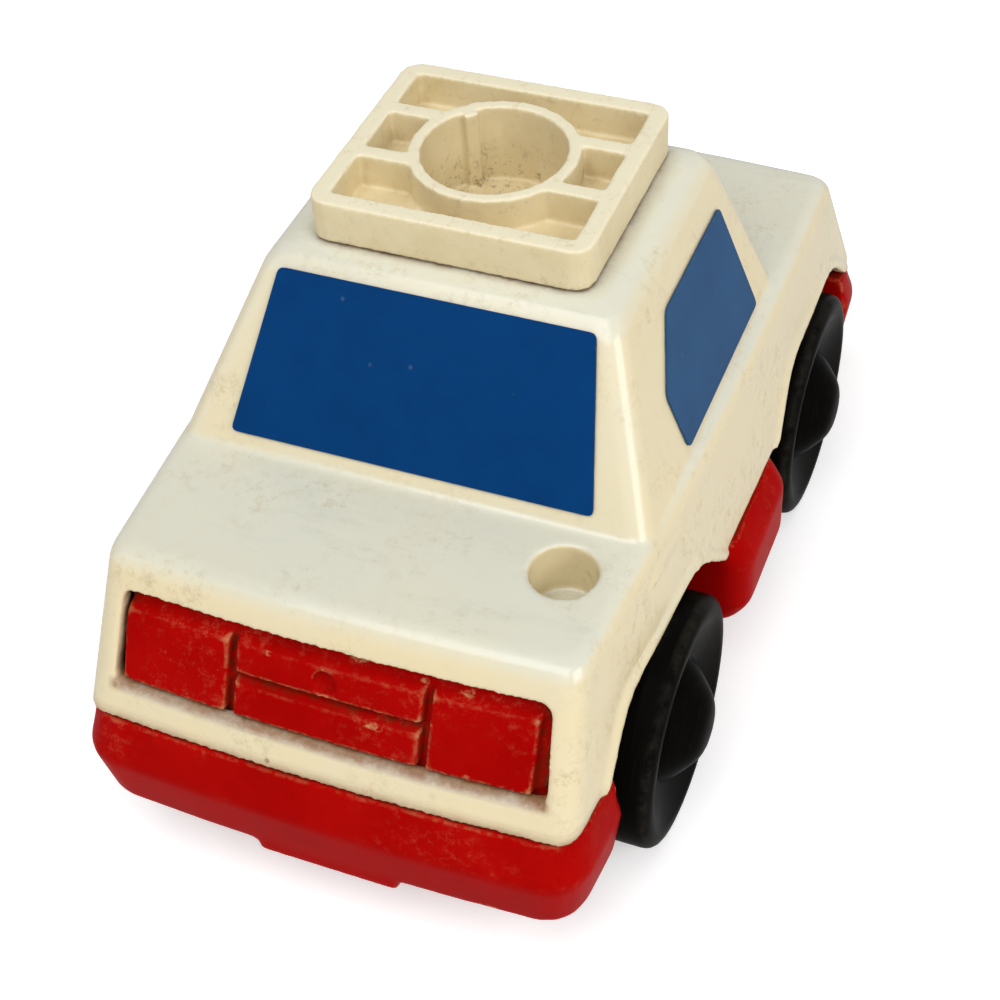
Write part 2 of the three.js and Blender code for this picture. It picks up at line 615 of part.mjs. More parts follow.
// A pan-head screw that points up, with the seat of its head at the origin.
function screwGeometry() {
  const head = new THREE.Path();
  head.moveTo(0, -SCREW_HEAD_HEIGHT);
  head.lineTo(SCREW_HEAD_FLAT, -SCREW_HEAD_HEIGHT);
  head.quadraticCurveTo(SCREW_HEAD_RADIUS, -SCREW_HEAD_HEIGHT, SCREW_HEAD_RADIUS, -GAP);
  head.lineTo(SCREW_RADIUS, -GAP);
  head.lineTo(SCREW_RADIUS, SCREW_LENGTH - SCREW_RADIUS);
  head.lineTo(0, SCREW_LENGTH);
  const reach = SCREW_HEAD_FLAT;
  const slot = SCREW_CROSS_HALF_WIDTH;
  const floor = -SCREW_HEAD_HEIGHT + SCREW_RECESS;
  const blade = box(-reach, reach, -slot, slot, -FAR, floor);
  const cross = blade.add(box(-slot, slot, -reach, reach, -FAR, floor));
  const turned = new THREE.LatheGeometry(head.getPoints(CORNER_STEPS), ROUND_SIDES).rotateX(Math.PI / 2);
  return geometryOf(solid(turned).subtract(cross));
}

// Labels

// A label's outline as a thin plate, in the plane of a window.
function labelGeometry(corners) {
  return extrude(rounded(corners, LABEL_FILLET), LABEL_THICKNESS);
}

// Places a mesh on a window: its own X runs along u, its Y up the slope, and it lies on the outward side.
function layOn(mesh, foot, u, slope) {
  const outward = u.clone().cross(slope).normalize();
  mesh.quaternion.setFromRotationMatrix(new THREE.Matrix4().makeBasis(u, slope, outward));
  mesh.position.copy(foot).addScaledVector(outward, LABEL_GAP);
}

// The label of the rear window, at end -1, or the front window, at end 1.
function endLabel(name, end, material) {
  const foot = new THREE.Vector3(0, end < 0 ? CABIN_REAR_Y : CABIN_FRONT_Y, DECK_Z);
  const head = new THREE.Vector3(0, end < 0 ? ROOF_REAR_Y : ROOF_FRONT_Y, ROOF_Z);
  const slope = head.clone().sub(foot).normalize();
  const low = END_LABEL_RISE / slope.z;
  const high = (ROOF_Z - DECK_Z - END_LABEL_DROP) / slope.z;
  const corners = [
    [-END_LABEL_FOOT, low],
    [END_LABEL_FOOT, low],
    [END_LABEL_HEAD, high],
    [-END_LABEL_HEAD, high],
  ];
  const mesh = new THREE.Mesh(labelGeometry(corners), material);
  mesh.name = name;
  layOn(mesh, foot, new THREE.Vector3(-end, 0, 0), slope);
  return mesh;
}

// The label of a side window, with its top corner towards the tail cut off.
function sideLabel(name, side, material) {
  const foot = new THREE.Vector3(side * CABIN_HALF_WIDTH, 0, DECK_Z);
  const head = new THREE.Vector3(side * ROOF_HALF_WIDTH, 0, ROOF_Z);
  const slope = head.clone().sub(foot).normalize();
  const up = (height) => height / slope.z;
  const corners = [
    [SIDE_LABEL_REAR_Y, up(SIDE_LABEL_RISE)],
    [SIDE_LABEL_FRONT_Y, up(SIDE_LABEL_RISE)],
    [SIDE_LABEL_FRONT_Y, up(SIDE_LABEL_TOP)],
    [SIDE_LABEL_REAR_Y + SIDE_LABEL_CUT_Y, up(SIDE_LABEL_TOP)],
    [SIDE_LABEL_REAR_Y, up(SIDE_LABEL_TOP - SIDE_LABEL_CUT_Z)],
  ];
  const facing = corners.map(([y, height]) => [side * y, height]);
  const mesh = new THREE.Mesh(labelGeometry(side > 0 ? facing : facing.reverse()), material);
  mesh.name = name;
  layOn(mesh, foot, new THREE.Vector3(0, side, 0), slope);
  return mesh;
}

// Materials

const ivory = new THREE.MeshStandardMaterial({ color: 0xe9e2cb, roughness: 0.35, metalness: 0 });
const ivoryDull = new THREE.MeshStandardMaterial({ color: 0xe2d3b4, roughness: 0.55, metalness: 0 });
const red = new THREE.MeshStandardMaterial({ color: 0xb81410, roughness: 0.4, metalness: 0 });
const blue = new THREE.MeshStandardMaterial({ color: 0x0b4a8c, roughness: 0.4, metalness: 0 });
const black = new THREE.MeshStandardMaterial({ color: 0x141414, roughness: 0.35, metalness: 0 });
const steel = new THREE.MeshStandardMaterial({ color: 0xb4b6b8, roughness: 0.3, metalness: 1 });

// Assembly

function piece(name, geometry, material) {
  const mesh = new THREE.Mesh(geometry, material);
  mesh.name = name;
  return mesh;
}

function wheelset(end, axleY) {
  const group = new THREE.Group();
  group.position.set(0, axleY, AXLE_Z);
  group.add(piece(`${end}_axle`, axleGeometry(), steel));
  for (const [name, side] of [["left", -1], ["right", 1]]) {
    const wheel = piece(`${end}_${name}_wheel`, wheelGeometry(), black);
    wheel.position.x = side * TRACK_HALF_WIDTH;
    wheel.rotation.z = side > 0 ? 0 : Math.PI;
    group.add(wheel);
  }
  return group;
}

const car = new THREE.Group();
car.add(piece("body_shell", geometryOf(bodyShell()), ivory));
car.add(piece("roof_light_tray", geometryOf(roofTray()), ivoryDull));
car.add(piece("chassis", geometryOf(chassis()), red));
car.add(endLabel("rear_window_label", -1, blue));
car.add(endLabel("front_window_label", 1, blue));
car.add(sideLabel("left_window_label", -1, blue));
car.add(sideLabel("right_window_label", 1, blue));
car.add(wheelset("rear", REAR_AXLE_Y));
car.add(wheelset("front", FRONT_AXLE_Y));
for (const [place, x, y] of screwPlaces()) {
  const screw = piece(`${place}_screw`, screwGeometry(), steel);
  screw.position.set(x, y, SCREW_SEAT_Z);
  car.add(screw);
}

export default car;
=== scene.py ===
"""A worn toy police car in moulded plastic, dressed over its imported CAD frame."""

import math

import bmesh
import bpy
from mathutils import Euler, Matrix, Quaternion, Vector


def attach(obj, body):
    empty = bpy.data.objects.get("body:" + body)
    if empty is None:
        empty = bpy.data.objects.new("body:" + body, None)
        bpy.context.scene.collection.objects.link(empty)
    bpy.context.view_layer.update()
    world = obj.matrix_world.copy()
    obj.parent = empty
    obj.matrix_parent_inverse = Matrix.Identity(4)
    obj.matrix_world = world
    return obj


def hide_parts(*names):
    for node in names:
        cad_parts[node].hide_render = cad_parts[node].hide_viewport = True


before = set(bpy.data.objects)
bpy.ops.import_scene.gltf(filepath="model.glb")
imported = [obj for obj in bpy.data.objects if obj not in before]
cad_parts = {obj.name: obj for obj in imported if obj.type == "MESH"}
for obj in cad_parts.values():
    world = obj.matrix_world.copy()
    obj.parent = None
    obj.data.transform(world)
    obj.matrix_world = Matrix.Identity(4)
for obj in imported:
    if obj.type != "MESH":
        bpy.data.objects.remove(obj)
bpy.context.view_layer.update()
scene = bpy.context.scene

MM = 0.001

# Camera, solved from the photograph
CAMERA_PLACE = (75.18, -166.5, 198.55)  # mm
CAMERA_AIM = (-0.29344, 0.64506, -0.7055)
CAMERA_ROLL = -4.135  # degrees
CAMERA_LENS = 68.14  # mm
CAMERA_SENSOR = 36.0  # mm
CAMERA_NEAR = 0.01  # metres

# Mouldings: each has the pitch of its new skin in mm, the passes that relax the skin, and the
# share of its faces that is kept
ASKEW = Euler((0.55, 0.38, 0.27)).to_matrix().to_4x4()
RELAX = 0.5  # how far a pass draws each point towards its neighbours
CAD_MERGE = 0.002  # mm
BODY_PITCH = 0.28
BODY_PASSES = 18
BODY_SHARE = 0.18
TRAY_PITCH = 0.25
TRAY_PASSES = 9
TRAY_SHARE = 0.4
CHASSIS_PITCH = 0.25
CHASSIS_FIRST_PASSES = 3  # before the lamp blocks are shaped
CHASSIS_LAST_PASSES = 4
CHASSIS_SHARE = 0.12

# Wheels and axles, in mm as in the CAD
TRACK = 69.0  # from one outer sidewall to the other
WHEEL_RADIUS = 15.9  # also the height of the axles
HUB_BORE = 2.15
REAR_AXLE_Y = -27.95
FRONT_AXLE_Y = 32.45
WHEEL_SIDES = 96
FILLET_STEPS = 5
TURNED_MERGE = 0.0005
# Each point of a wheel's section is its place along the axle, its radius and its rounding.
WHEEL_SECTION = [
    (0, 0, 0), (0, HUB_BORE, 0), (-12, HUB_BORE, 0.3), (-12, 4.6, 0.4), (-3.1, 4.6, 0.8),
    (-3.1, 13.5, 1.2), (-12, 13.5, 0.5), (-12, WHEEL_RADIUS, 0.8), (0.4, WHEEL_RADIUS, 1.5),
    (0.7, 13.6, 0.7), (-1.0, 7.9, 0.35), (0.5, 6.6, 0.9), (3.1, 3.6, 1.6), (3.5, 0, 0),
]

# Ends of the chassis with their lamp panels, in mm from the middle and the ground
END_Y = 57.3  # end of the body at its foot
END_FOOT_Z = 25.4
END_SLOPE = 0.465
END_BOW = 1.0
END_HALF_WIDTH = 34.0
LAMP_SETBACK = 0.8  # from the body's skin to the face of a block
LAMP_DEPTH = 1.6  # of the margin and the valleys round the blocks
LAMP_LOW_Z = 29.2
LAMP_TOP_Z = 40.6
LAMP_HALF_WIDTH = 26.6
LAMP_SPLIT_X = 12.0
LAMP_SPLIT_Z = 34.0
# The panel is sunk up to the first distance from an edge or a split, and a block from the second.
TOP_MARGIN = (2.2, 2.6)
RIGHT_MARGIN = (1.4, 1.8)  # on the right as one faces that end
LEFT_MARGIN = (0.2, 0.6)
VALLEY = (0.25, 0.65)
LOCK_X = -0.5  # round dimple in the tail's upper middle block
LOCK_Z = 36.2
LOCK_RADIUS = 1.2
LOCK_EDGE = (LOCK_RADIUS - 0.25, LOCK_RADIUS + 0.15)
LOCK_DEPTH = 0.7  # as a share of the valleys' depth
CAD_SPLIT_Z = 32.1  # groove of the CAD that is filled
FILL_HALF_HEIGHT = 0.7
FILL_DEPTH = 3
FILL_SIDE_GAP = 0.2
BUMPER_TOP_Z = 23.0
BUMPER_PASSES = 60

# Screws under the chassis, in mm
SCREW_SPACING_X = 24.0
SCREW_SPACING_Y = 81.8
SCREW_SEAT_Z = 14.6
SCREW_TURN = 0.7  # radians from one screw's cross to the next one's
SCREW_EDGE = math.radians(35)  # a steeper edge stays sharp

# Finishes. The white floor would grey a deep colour by its reflection, so those have little shine.
ABS_IOR = 1.53
FILM_IOR = 1.5
POLYETHYLENE_IOR = 1.5
RED_SHINE = 0.01
BLUE_SHINE = 0.06
BLACK_SHINE = 0.006
HOLLOW_SAMPLES = 8  # rays that feel for a crease

# Stage
FLOOR_HALF = 0.7  # metres
FLOOR_LIFT = 0.4
WORLD_LIT = 0.27
WORLD_SHOWN = 1.0
LIGHT_AIM = (0, 0, 0.03)  # metres
SOFT_BOXES = [  # name, place in metres, side in metres, watts
    ("overhead_box", (0, -0.3, 0.6), 0.5, 2.35),
    ("right_box", (0.55, -0.2, 0.4), 0.4, 2.05),
    ("left_fill", (-0.6, -0.35, 0.4), 0.5, 0.6),
    ("front_fill", (0.1, 0.7, 0.4), 0.5, 0.2),
]


# Shapes


def link(name, data):
    """An object in the scene with that mesh, light or camera."""
    made = bpy.data.objects.new(name, data)
    scene.collection.objects.link(made)
    return made


def as_plain_mesh(obj):
    """The object's evaluated mesh in place of its own, with its modifiers removed."""
    shape = obj.evaluated_get(bpy.context.evaluated_depsgraph_get())
    mesh = bpy.data.meshes.new_from_object(shape)
    obj.modifiers.clear()
    obj.data = mesh
    mesh.shade_smooth()
    return obj


def merged_copy(node):
    """A CAD node's mesh with its loose triangles joined."""
    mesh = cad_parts[node].data.copy()
    mesh.materials.clear()
    joined = bmesh.new()
    joined.from_mesh(mesh)
    bmesh.ops.remove_doubles(joined, verts=joined.verts, dist=CAD_MERGE * MM)
    joined.to_mesh(mesh)
    joined.free()
    return mesh


def reskin(made, pitch, passes):
    """An even new skin over the object at a pitch in mm, relaxed. The object lies askew meanwhile,
    so that none of its edges runs along the pitch and comes out stepped."""
    made.data.transform(ASKEW)
    skin = made.modifiers.new("skin", "REMESH")
    skin.mode = "VOXEL"
    skin.voxel_size = pitch * MM
    relax = made.modifiers.new("relax", "SMOOTH")
    relax.factor = RELAX
    relax.iterations = passes
    as_plain_mesh(made)
    made.data.transform(ASKEW.inverted())


def finish_moulding(made, node, share, finish):
    """Thins the skin to a share of its faces, and puts it in the CAD node's place."""
    thin = made.modifiers.new("thin", "DECIMATE")
    thin.ratio = share
    as_plain_mesh(made)
    made.data.materials.append(finish)
    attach(made, "car")
    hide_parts(node)


def ease(low, high, value):
    """0 up to low, 1 from high on, and a smooth step between them."""
    t = min(max((value - low) / (high - low), 0), 1)
    return t * t * (3 - 2 * t)


def lamp_face(x, z):
    """How far from the middle the face of a lamp block lies, in mm."""
    skin = END_Y - END_BOW * (x / END_HALF_WIDTH) ** 2 - END_SLOPE * (z - END_FOOT_Z)
    return skin - LAMP_SETBACK


def fill_middle_grooves(mesh):
    """Closes the CAD's groove across the middle lamp blocks, which the photo shows higher up."""
    filled = bmesh.new()
    filled.from_mesh(mesh)
    for end in (-1, 1):
        bar = bmesh.ops.create_cube(filled, size=1.0)["verts"]
        for corner in bar:
            x = math.copysign(LAMP_SPLIT_X - FILL_SIDE_GAP, corner.co.x)
            z = CAD_SPLIT_Z + math.copysign(FILL_HALF_HEIGHT, corner.co.z)
            y = lamp_face(0, z) if corner.co.y > 0 else lamp_face(0, z) - FILL_DEPTH
            corner.co = Vector((x, end * y, z)) * MM
        if end < 0:
            sides = {face for corner in bar for face in corner.link_faces}
            bmesh.ops.reverse_faces(filled, faces=list(sides))
    filled.to_mesh(mesh)
    filled.free()


def shape_chassis(made):
    """Stands the lamp blocks out as soft pads with a margin and valleys round them, and rounds off
    the bumpers when the object is next made a plain mesh."""
    soft = made.vertex_groups.new(name="soft")
    for vertex in made.data.vertices:
        x, y, z = vertex.co / MM
        end = math.copysign(1, y)
        y = abs(y)
        out = abs(x)
        if z < BUMPER_TOP_Z:
            soft.add([vertex.index], 1.0, "REPLACE")
        face = lamp_face(x, z)
        if y < face - LAMP_DEPTH or not LAMP_LOW_Z < z < LAMP_TOP_Z:
            continue
        sunk = max(
            1 - ease(*TOP_MARGIN, LAMP_TOP_Z - z),
            1 - ease(*RIGHT_MARGIN, LAMP_HALF_WIDTH + x * end),
            1 - ease(*LEFT_MARGIN, LAMP_HALF_WIDTH - x * end),
            1 - ease(*VALLEY, abs(out - LAMP_SPLIT_X)),
            1 - ease(*VALLEY, abs(z - LAMP_SPLIT_Z)) if out < LAMP_SPLIT_X else 0,
        )
        if end < 0:
            from_lock = math.hypot(x - LOCK_X, z - LOCK_Z)
            sunk = max(sunk, LOCK_DEPTH * (1 - ease(*LOCK_EDGE, from_lock)))
        vertex.co.y = end * min(y, face - LAMP_DEPTH * sunk) * MM
    rounding = made.modifiers.new("rounding", "SMOOTH")
    rounding.factor = RELAX
    rounding.iterations = BUMPER_PASSES
    rounding.vertex_group = "soft"


def rounded_section(points):
    """The section's corners turned into arcs of their own rounding."""
    section = []
    for i, (x, r, rounding) in enumerate(points):
        corner = Vector((x, r))
        if rounding == 0:
            section.append(corner)
            continue
        before = (Vector(points[i - 1][:2]) - corner).normalized()
        after = (Vector(points[i + 1][:2]) - corner).normalized()
        start = corner + before * rounding
        end = corner + after * rounding
        for k in range(FILLET_STEPS + 1):
            t = k / FILLET_STEPS
            section.append(start.lerp(corner, t).lerp(corner.lerp(end, t), t))
    return section


def turned_wheel():
    """A wheel turned round X, its outer sidewall at the origin. Its UVs run round it and along its
    section, in metres."""
    section = [point * MM for point in rounded_section(WHEEL_SECTION)]
    run = [0.0]
    for a, b in zip(section, section[1:]):
        run.append(run[-1] + (b - a).length)
    shape = bmesh.new()
    uv = shape.loops.layers.uv.new("around")
    rings = []
    for step in range(WHEEL_SIDES):
        angle = 2 * math.pi * step / WHEEL_SIDES
        ring = [(p.x, p.y * math.cos(angle), p.y * math.sin(angle)) for p in section]
        rings.append([shape.verts.new(place) for place in ring])
    girth = 2 * math.pi * WHEEL_RADIUS * MM
    for step in range(WHEEL_SIDES):
        here = rings[step]
        there = rings[(step + 1) % WHEEL_SIDES]
        for k in range(len(section) - 1):
            corners = [
                (here[k], step, k), (there[k], step + 1, k),
                (there[k + 1], step + 1, k + 1), (here[k + 1], step, k + 1),
            ]
            face = shape.faces.new([corner[0] for corner in corners])
            for loop, (_, around, along) in zip(face.loops, corners):
                loop[uv].uv = (around / WHEEL_SIDES * girth, run[along])
    bmesh.ops.remove_doubles(shape, verts=shape.verts, dist=TURNED_MERGE * MM)
    bmesh.ops.dissolve_degenerate(shape, edges=shape.edges, dist=TURNED_MERGE * MM)
    bmesh.ops.recalc_face_normals(shape, faces=shape.faces)
    mesh = bpy.data.meshes.new("turned_wheel")
    shape.to_mesh(mesh)
    shape.free()
    mesh.shade_smooth()
    return link("turned_wheel", mesh)


# Node trees


def add(tree, kind, inputs=None, **settings):
    """A node with its settings, and its inputs set to values or linked to sockets."""
    made = tree.nodes.new(kind)
    for name, value in settings.items():
        setattr(made, name, value)
    for key, value in (inputs or {}).items():
        if isinstance(value, bpy.types.NodeSocket):
            tree.links.new(value, made.inputs[key])
        else:
            made.inputs[key].default_value = value
    return made


def placing_tree(name, sizes):
    """An empty geometry tree with named inputs: the piece, its finish and the sizes. Gives the tree
    and its input node."""
    tree = bpy.data.node_groups.new(name, "GeometryNodeTree")
    tree.interface.new_socket("Geometry", in_out="OUTPUT", socket_type="NodeSocketGeometry")
    tree.interface.new_socket("Piece", in_out="INPUT", socket_type="NodeSocketObject")
    tree.interface.new_socket("Finish", in_out="INPUT", socket_type="NodeSocketMaterial")
    for size in sizes:
        tree.interface.new_socket(size, in_out="INPUT", socket_type="NodeSocketFloat")
    return tree, add(tree, "NodeGroupInput")


def close_tree(tree, given, points, rotation):
    """Places the piece on the points, and ends the tree in real, finished geometry."""
    piece = add(tree, "GeometryNodeObjectInfo", {"Object": given.outputs["Piece"]})
    placed = add(tree, "GeometryNodeInstanceOnPoints", {
        "Points": points, "Instance": piece.outputs["Geometry"], "Rotation": rotation,
    })
    real = add(tree, "GeometryNodeRealizeInstances", {"Geometry": placed.outputs["Instances"]})
    finished = add(tree, "GeometryNodeSetMaterial", {
        "Geometry": real.outputs["Geometry"], "Material": given.outputs["Finish"],
    })
    add(tree, "NodeGroupOutput", {"Geometry": finished.outputs["Geometry"]})


def wheel_pair_tree():
    """Two wheels on one axle, the left one turned round to face outwards."""
    tree, given = placing_tree("wheel_pair", ["Track", "Axle Y", "Axle Height"])
    half = add(tree, "ShaderNodeMath", {0: given.outputs["Track"], 1: 0.5}, operation="MULTIPLY")
    left = add(tree, "ShaderNodeMath", {0: half.outputs[0], 1: -1.0}, operation="MULTIPLY")
    ends = [
        add(tree, "ShaderNodeCombineXYZ", {
            "X": x, "Y": given.outputs["Axle Y"], "Z": given.outputs["Axle Height"],
        })
        for x in (left.outputs[0], half.outputs[0])
    ]
    axle = add(tree, "GeometryNodeMeshLine", {
        "Count": 2, "Start Location": ends[0].outputs[0], "Offset": ends[1].outputs[0],
    }, mode="END_POINTS")
    number = add(tree, "GeometryNodeInputIndex")
    turn = add(tree, "ShaderNodeMath", {
        0: number.outputs[0], 1: -math.pi, 2: math.pi,
    }, operation="MULTIPLY_ADD")
    about_z = add(tree, "ShaderNodeCombineXYZ", {"Z": turn.outputs[0]})
    rotation = add(tree, "FunctionNodeEulerToRotation", {"Euler": about_z.outputs[0]})
    close_tree(tree, given, axle.outputs["Mesh"], rotation.outputs[0])
    return tree


def screw_pattern_tree():
    """Four screws at the corners of a rectangle, each turned a little further than the last."""
    tree, given = placing_tree("screw_pattern", ["Spacing X", "Spacing Y", "Seat Height"])
    corners = add(tree, "GeometryNodeMeshGrid", {
        "Size X": given.outputs["Spacing X"], "Size Y": given.outputs["Spacing Y"],
        "Vertices X": 2, "Vertices Y": 2,
    })
    lift = add(tree, "ShaderNodeCombineXYZ", {"Z": given.outputs["Seat Height"]})
    seats = add(tree, "GeometryNodeTransform", {
        "Geometry": corners.outputs["Mesh"], "Translation": lift.outputs[0],
    })
    number = add(tree, "GeometryNodeInputIndex")
    turn = add(tree, "ShaderNodeMath", {0: number.outputs[0], 1: SCREW_TURN}, operation="MULTIPLY")
    about_z = add(tree, "ShaderNodeCombineXYZ", {"Z": turn.outputs[0]})
    rotation = add(tree, "FunctionNodeEulerToRotation", {"Euler": about_z.outputs[0]})
    close_tree(tree, given, seats.outputs["Geometry"], rotation.outputs[0])
    return tree


def placed_pieces(name, tree, piece, finish, sizes):
    """A plain mesh of the tree's result, with the sizes given in mm."""
    made = link(name, bpy.data.meshes.new(name))
    nodes = made.modifiers.new("place", "NODES")
    nodes.node_group = tree
    values = {"Piece": piece, "Finish": finish, **{size: mm * MM for size, mm in sizes.items()}}
    for socket in tree.interface.items_tree:
        if socket.in_out == "INPUT":
            nodes[socket.identifier] = values[socket.name]
    return as_plain_mesh(made)


# Materials


def linear(colour):
    """An sRGB hex value as linear RGBA."""
    channels = [int(colour[i:i + 2], 16) / 255 for i in (1, 3, 5)]
    return [c / 12.92 if c <= 0.04045 else ((c + 0.055) / 1.055) ** 2.4 for c in channels] + [1.0]


def per_metre(size):
    """A texture's scale for features of that size in mm."""
    return 1 / (size * MM)


def material(name, inputs):
    """A material with its tree, its shader and the Object coordinates that its patterns read."""
    made = bpy.data.materials.new(name)
    made.use_nodes = True
    tree = made.node_tree
    tree.nodes.clear()
    shader = add(tree, "ShaderNodeBsdfPrincipled", inputs)
    add(tree, "ShaderNodeOutputMaterial", {"Surface": shader.outputs[0]})
    place = add(tree, "ShaderNodeTexCoord").outputs["Object"]
    return made, tree, shader, place


def aged_ivory_abs():
    """Glossy moulded ABS, once white and now yellowed in clouds: its upright faces are painted
    warmer and its decks cooler for the light that falls on them, handling smears and a painted
    reflection grey its decks, dirt sits in its creases and in small nicks, and the mould's polish
    shows as a soft shine."""
    made, tree, shader, place = material("abs_gloss_moulded_aged_ivory", {"IOR": ABS_IOR})
    surface = add(tree, "ShaderNodeNewGeometry")
    facing = add(tree, "ShaderNodeSeparateXYZ", {0: surface.outputs["Normal"]})
    spot = add(tree, "ShaderNodeSeparateXYZ", {0: place})

    # Painted light: upright faces are yellower for the warm light on them, and what faces up is
    # greyer for the cool light from above. Yellowing in 14 mm clouds breaks this up.
    clouds = add(tree, "ShaderNodeTexNoise", {
        "Vector": place, "Scale": per_metre(14), "Detail": 4.0, "Roughness": 0.6,
    })
    upright_warm_light = add(tree, "ShaderNodeMapRange", {
        "Value": facing.outputs["Z"], "From Min": 0.95, "From Max": 0.35,
        "To Min": 0.0, "To Max": 0.75,
    }, interpolation_type="SMOOTHSTEP")
    warm_light_and_yellowing = add(tree, "ShaderNodeMath", {
        0: clouds.outputs["Fac"], 1: 0.5, 2: upright_warm_light.outputs[0],
    }, operation="MULTIPLY_ADD")
    warm_light_and_yellowing = add(tree, "ShaderNodeMapRange", {
        "Value": warm_light_and_yellowing.outputs[0], "From Min": 0.2, "From Max": 1.05,
    })
    plastic = add(tree, "ShaderNodeMix", {
        0: warm_light_and_yellowing.outputs[0], 6: linear("#d9d8c6"), 7: linear("#e6d6ad"),
    }, data_type="RGBA")

    # Grey smears of 6 mm on what faces up, drawn out across the car: partly handling, partly a
    # painted reflection on the decks.
    smear_place = add(tree, "ShaderNodeMapping", {"Vector": place, "Scale": (0.35, 1.0, 1.0)})
    smears = add(tree, "ShaderNodeTexNoise", {
        "Vector": smear_place.outputs[0], "Scale": per_metre(6), "Detail": 6.0, "Roughness": 0.7,
        "Distortion": 0.6,
    })
    smear_and_reflection = add(tree, "ShaderNodeMapRange", {
        "Value": smears.outputs["Fac"], "From Min": 0.52, "From Max": 0.8,
        "To Min": 0.0, "To Max": 0.4,
    })
    level = add(tree, "ShaderNodeMapRange", {
        "Value": facing.outputs["Z"], "From Min": 0.6, "From Max": 0.98,
    })
    smear_and_reflection = add(tree, "ShaderNodeMath", {
        0: smear_and_reflection.outputs[0], 1: level.outputs[0],
    }, operation="MULTIPLY")
    plastic = add(tree, "ShaderNodeMix", {
        0: smear_and_reflection.outputs[0], 6: plastic.outputs[2], 7: linear("#b4b8ae"),
    }, data_type="RGBA")

    # Brown dirt has settled in the creases, within 2.6 mm of them and patchy over 3 mm.
    crease = add(tree, "ShaderNodeAmbientOcclusion", {"Distance": 2.6 * MM}, samples=HOLLOW_SAMPLES)
    patches = add(tree, "ShaderNodeTexNoise", {
        "Vector": place, "Scale": per_metre(3), "Detail": 5.0, "Roughness": 0.7,
    })
    depth = add(tree, "ShaderNodeMapRange", {
        "Value": crease.outputs["AO"], "From Min": 0.86, "From Max": 0.25,
        "To Min": 0.0, "To Max": 1.0,
    }, interpolation_type="SMOOTHSTEP")
    patched = add(tree, "ShaderNodeMapRange", {
        "Value": patches.outputs["Fac"], "From Min": 0.3, "From Max": 0.62,
        "To Min": 0.15, "To Max": 1.0,
    })
    dirt = add(tree, "ShaderNodeMath", {
        0: depth.outputs[0], 1: patched.outputs[0],
    }, operation="MULTIPLY")
    dirt = add(tree, "ShaderNodeMath", {0: dirt.outputs[0], 1: 0.8}, operation="MULTIPLY")
    plastic = add(tree, "ShaderNodeMix", {
        0: dirt.outputs[0], 6: plastic.outputs[2], 7: linear("#74502c"),
    }, data_type="RGBA")

    # A thin tan film of hand dirt in freckles of 0.8 mm, gathered in fields of 9 mm.
    freckles = add(tree, "ShaderNodeTexNoise", {
        "Vector": place, "Scale": per_metre(1.6), "Detail": 6.0, "Roughness": 0.8,
    })
    fields = add(tree, "ShaderNodeTexNoise", {
        "Vector": place, "Scale": per_metre(9), "Detail": 3.0,
    })
    freckled = add(tree, "ShaderNodeMapRange", {
        "Value": freckles.outputs["Fac"], "From Min": 0.5, "From Max": 0.75,
        "To Min": 0.0, "To Max": 0.75,
    })
    field = add(tree, "ShaderNodeMapRange", {
        "Value": fields.outputs["Fac"], "From Min": 0.44, "From Max": 0.68,
    })
    film = add(tree, "ShaderNodeMath", {
        0: freckled.outputs[0], 1: field.outputs[0],
    }, operation="MULTIPLY")
    plastic = add(tree, "ShaderNodeMix", {
        0: film.outputs[0], 6: plastic.outputs[2], 7: linear("#b39a6c"),
    }, data_type="RGBA")

    # Both ends are stained: brown on the sill of the lamp opening, and in dark patches along the
    # foot of the rail below it.
    aft = add(tree, "ShaderNodeMath", {0: spot.outputs["Y"]}, operation="ABSOLUTE")
    aside = add(tree, "ShaderNodeMath", {0: spot.outputs["X"]}, operation="ABSOLUTE")
    at_end = add(tree, "ShaderNodeMapRange", {
        "Value": aft.outputs[0], "From Min": 47 * MM, "From Max": 49 * MM,
    })
    between = add(tree, "ShaderNodeMapRange", {
        "Value": aside.outputs[0], "From Min": 27.8 * MM, "From Max": 26.8 * MM,
    })
    above = add(tree, "ShaderNodeMapRange", {
        "Value": spot.outputs["Z"], "From Min": 28.5 * MM, "From Max": 29.35 * MM,
    }, interpolation_type="SMOOTHSTEP")
    below = add(tree, "ShaderNodeMapRange", {
        "Value": spot.outputs["Z"], "From Min": 27.2 * MM, "From Max": 25.2 * MM, "To Max": 0.8,
    }, interpolation_type="SMOOTHSTEP")
    capped = add(tree, "ShaderNodeMapRange", {
        "Value": spot.outputs["Z"], "From Min": 30.4 * MM, "From Max": 29.8 * MM,
    })
    sill = add(tree, "ShaderNodeMath", {
        0: above.outputs[0], 1: between.outputs[0],
    }, operation="MULTIPLY")
    sill = add(tree, "ShaderNodeMath", {
        0: sill.outputs[0], 1: capped.outputs[0],
    }, operation="MULTIPLY")
    stain = add(tree, "ShaderNodeMath", {
        0: sill.outputs[0], 1: below.outputs[0],
    }, operation="MAXIMUM")
    stain = add(tree, "ShaderNodeMath", {
        0: stain.outputs[0], 1: at_end.outputs[0],
    }, operation="MULTIPLY")
    soaked = add(tree, "ShaderNodeMapRange", {
        "Value": patches.outputs["Fac"], "From Min": 0.3, "From Max": 0.6,
        "To Min": 0.45, "To Max": 0.95,
    })
    stain = add(tree, "ShaderNodeMath", {
        0: stain.outputs[0], 1: soaked.outputs[0],
    }, operation="MULTIPLY")
    plastic = add(tree, "ShaderNodeMix", {
        0: stain.outputs[0], 6: plastic.outputs[2], 7: linear("#8a5a2e"),
    }, data_type="RGBA")

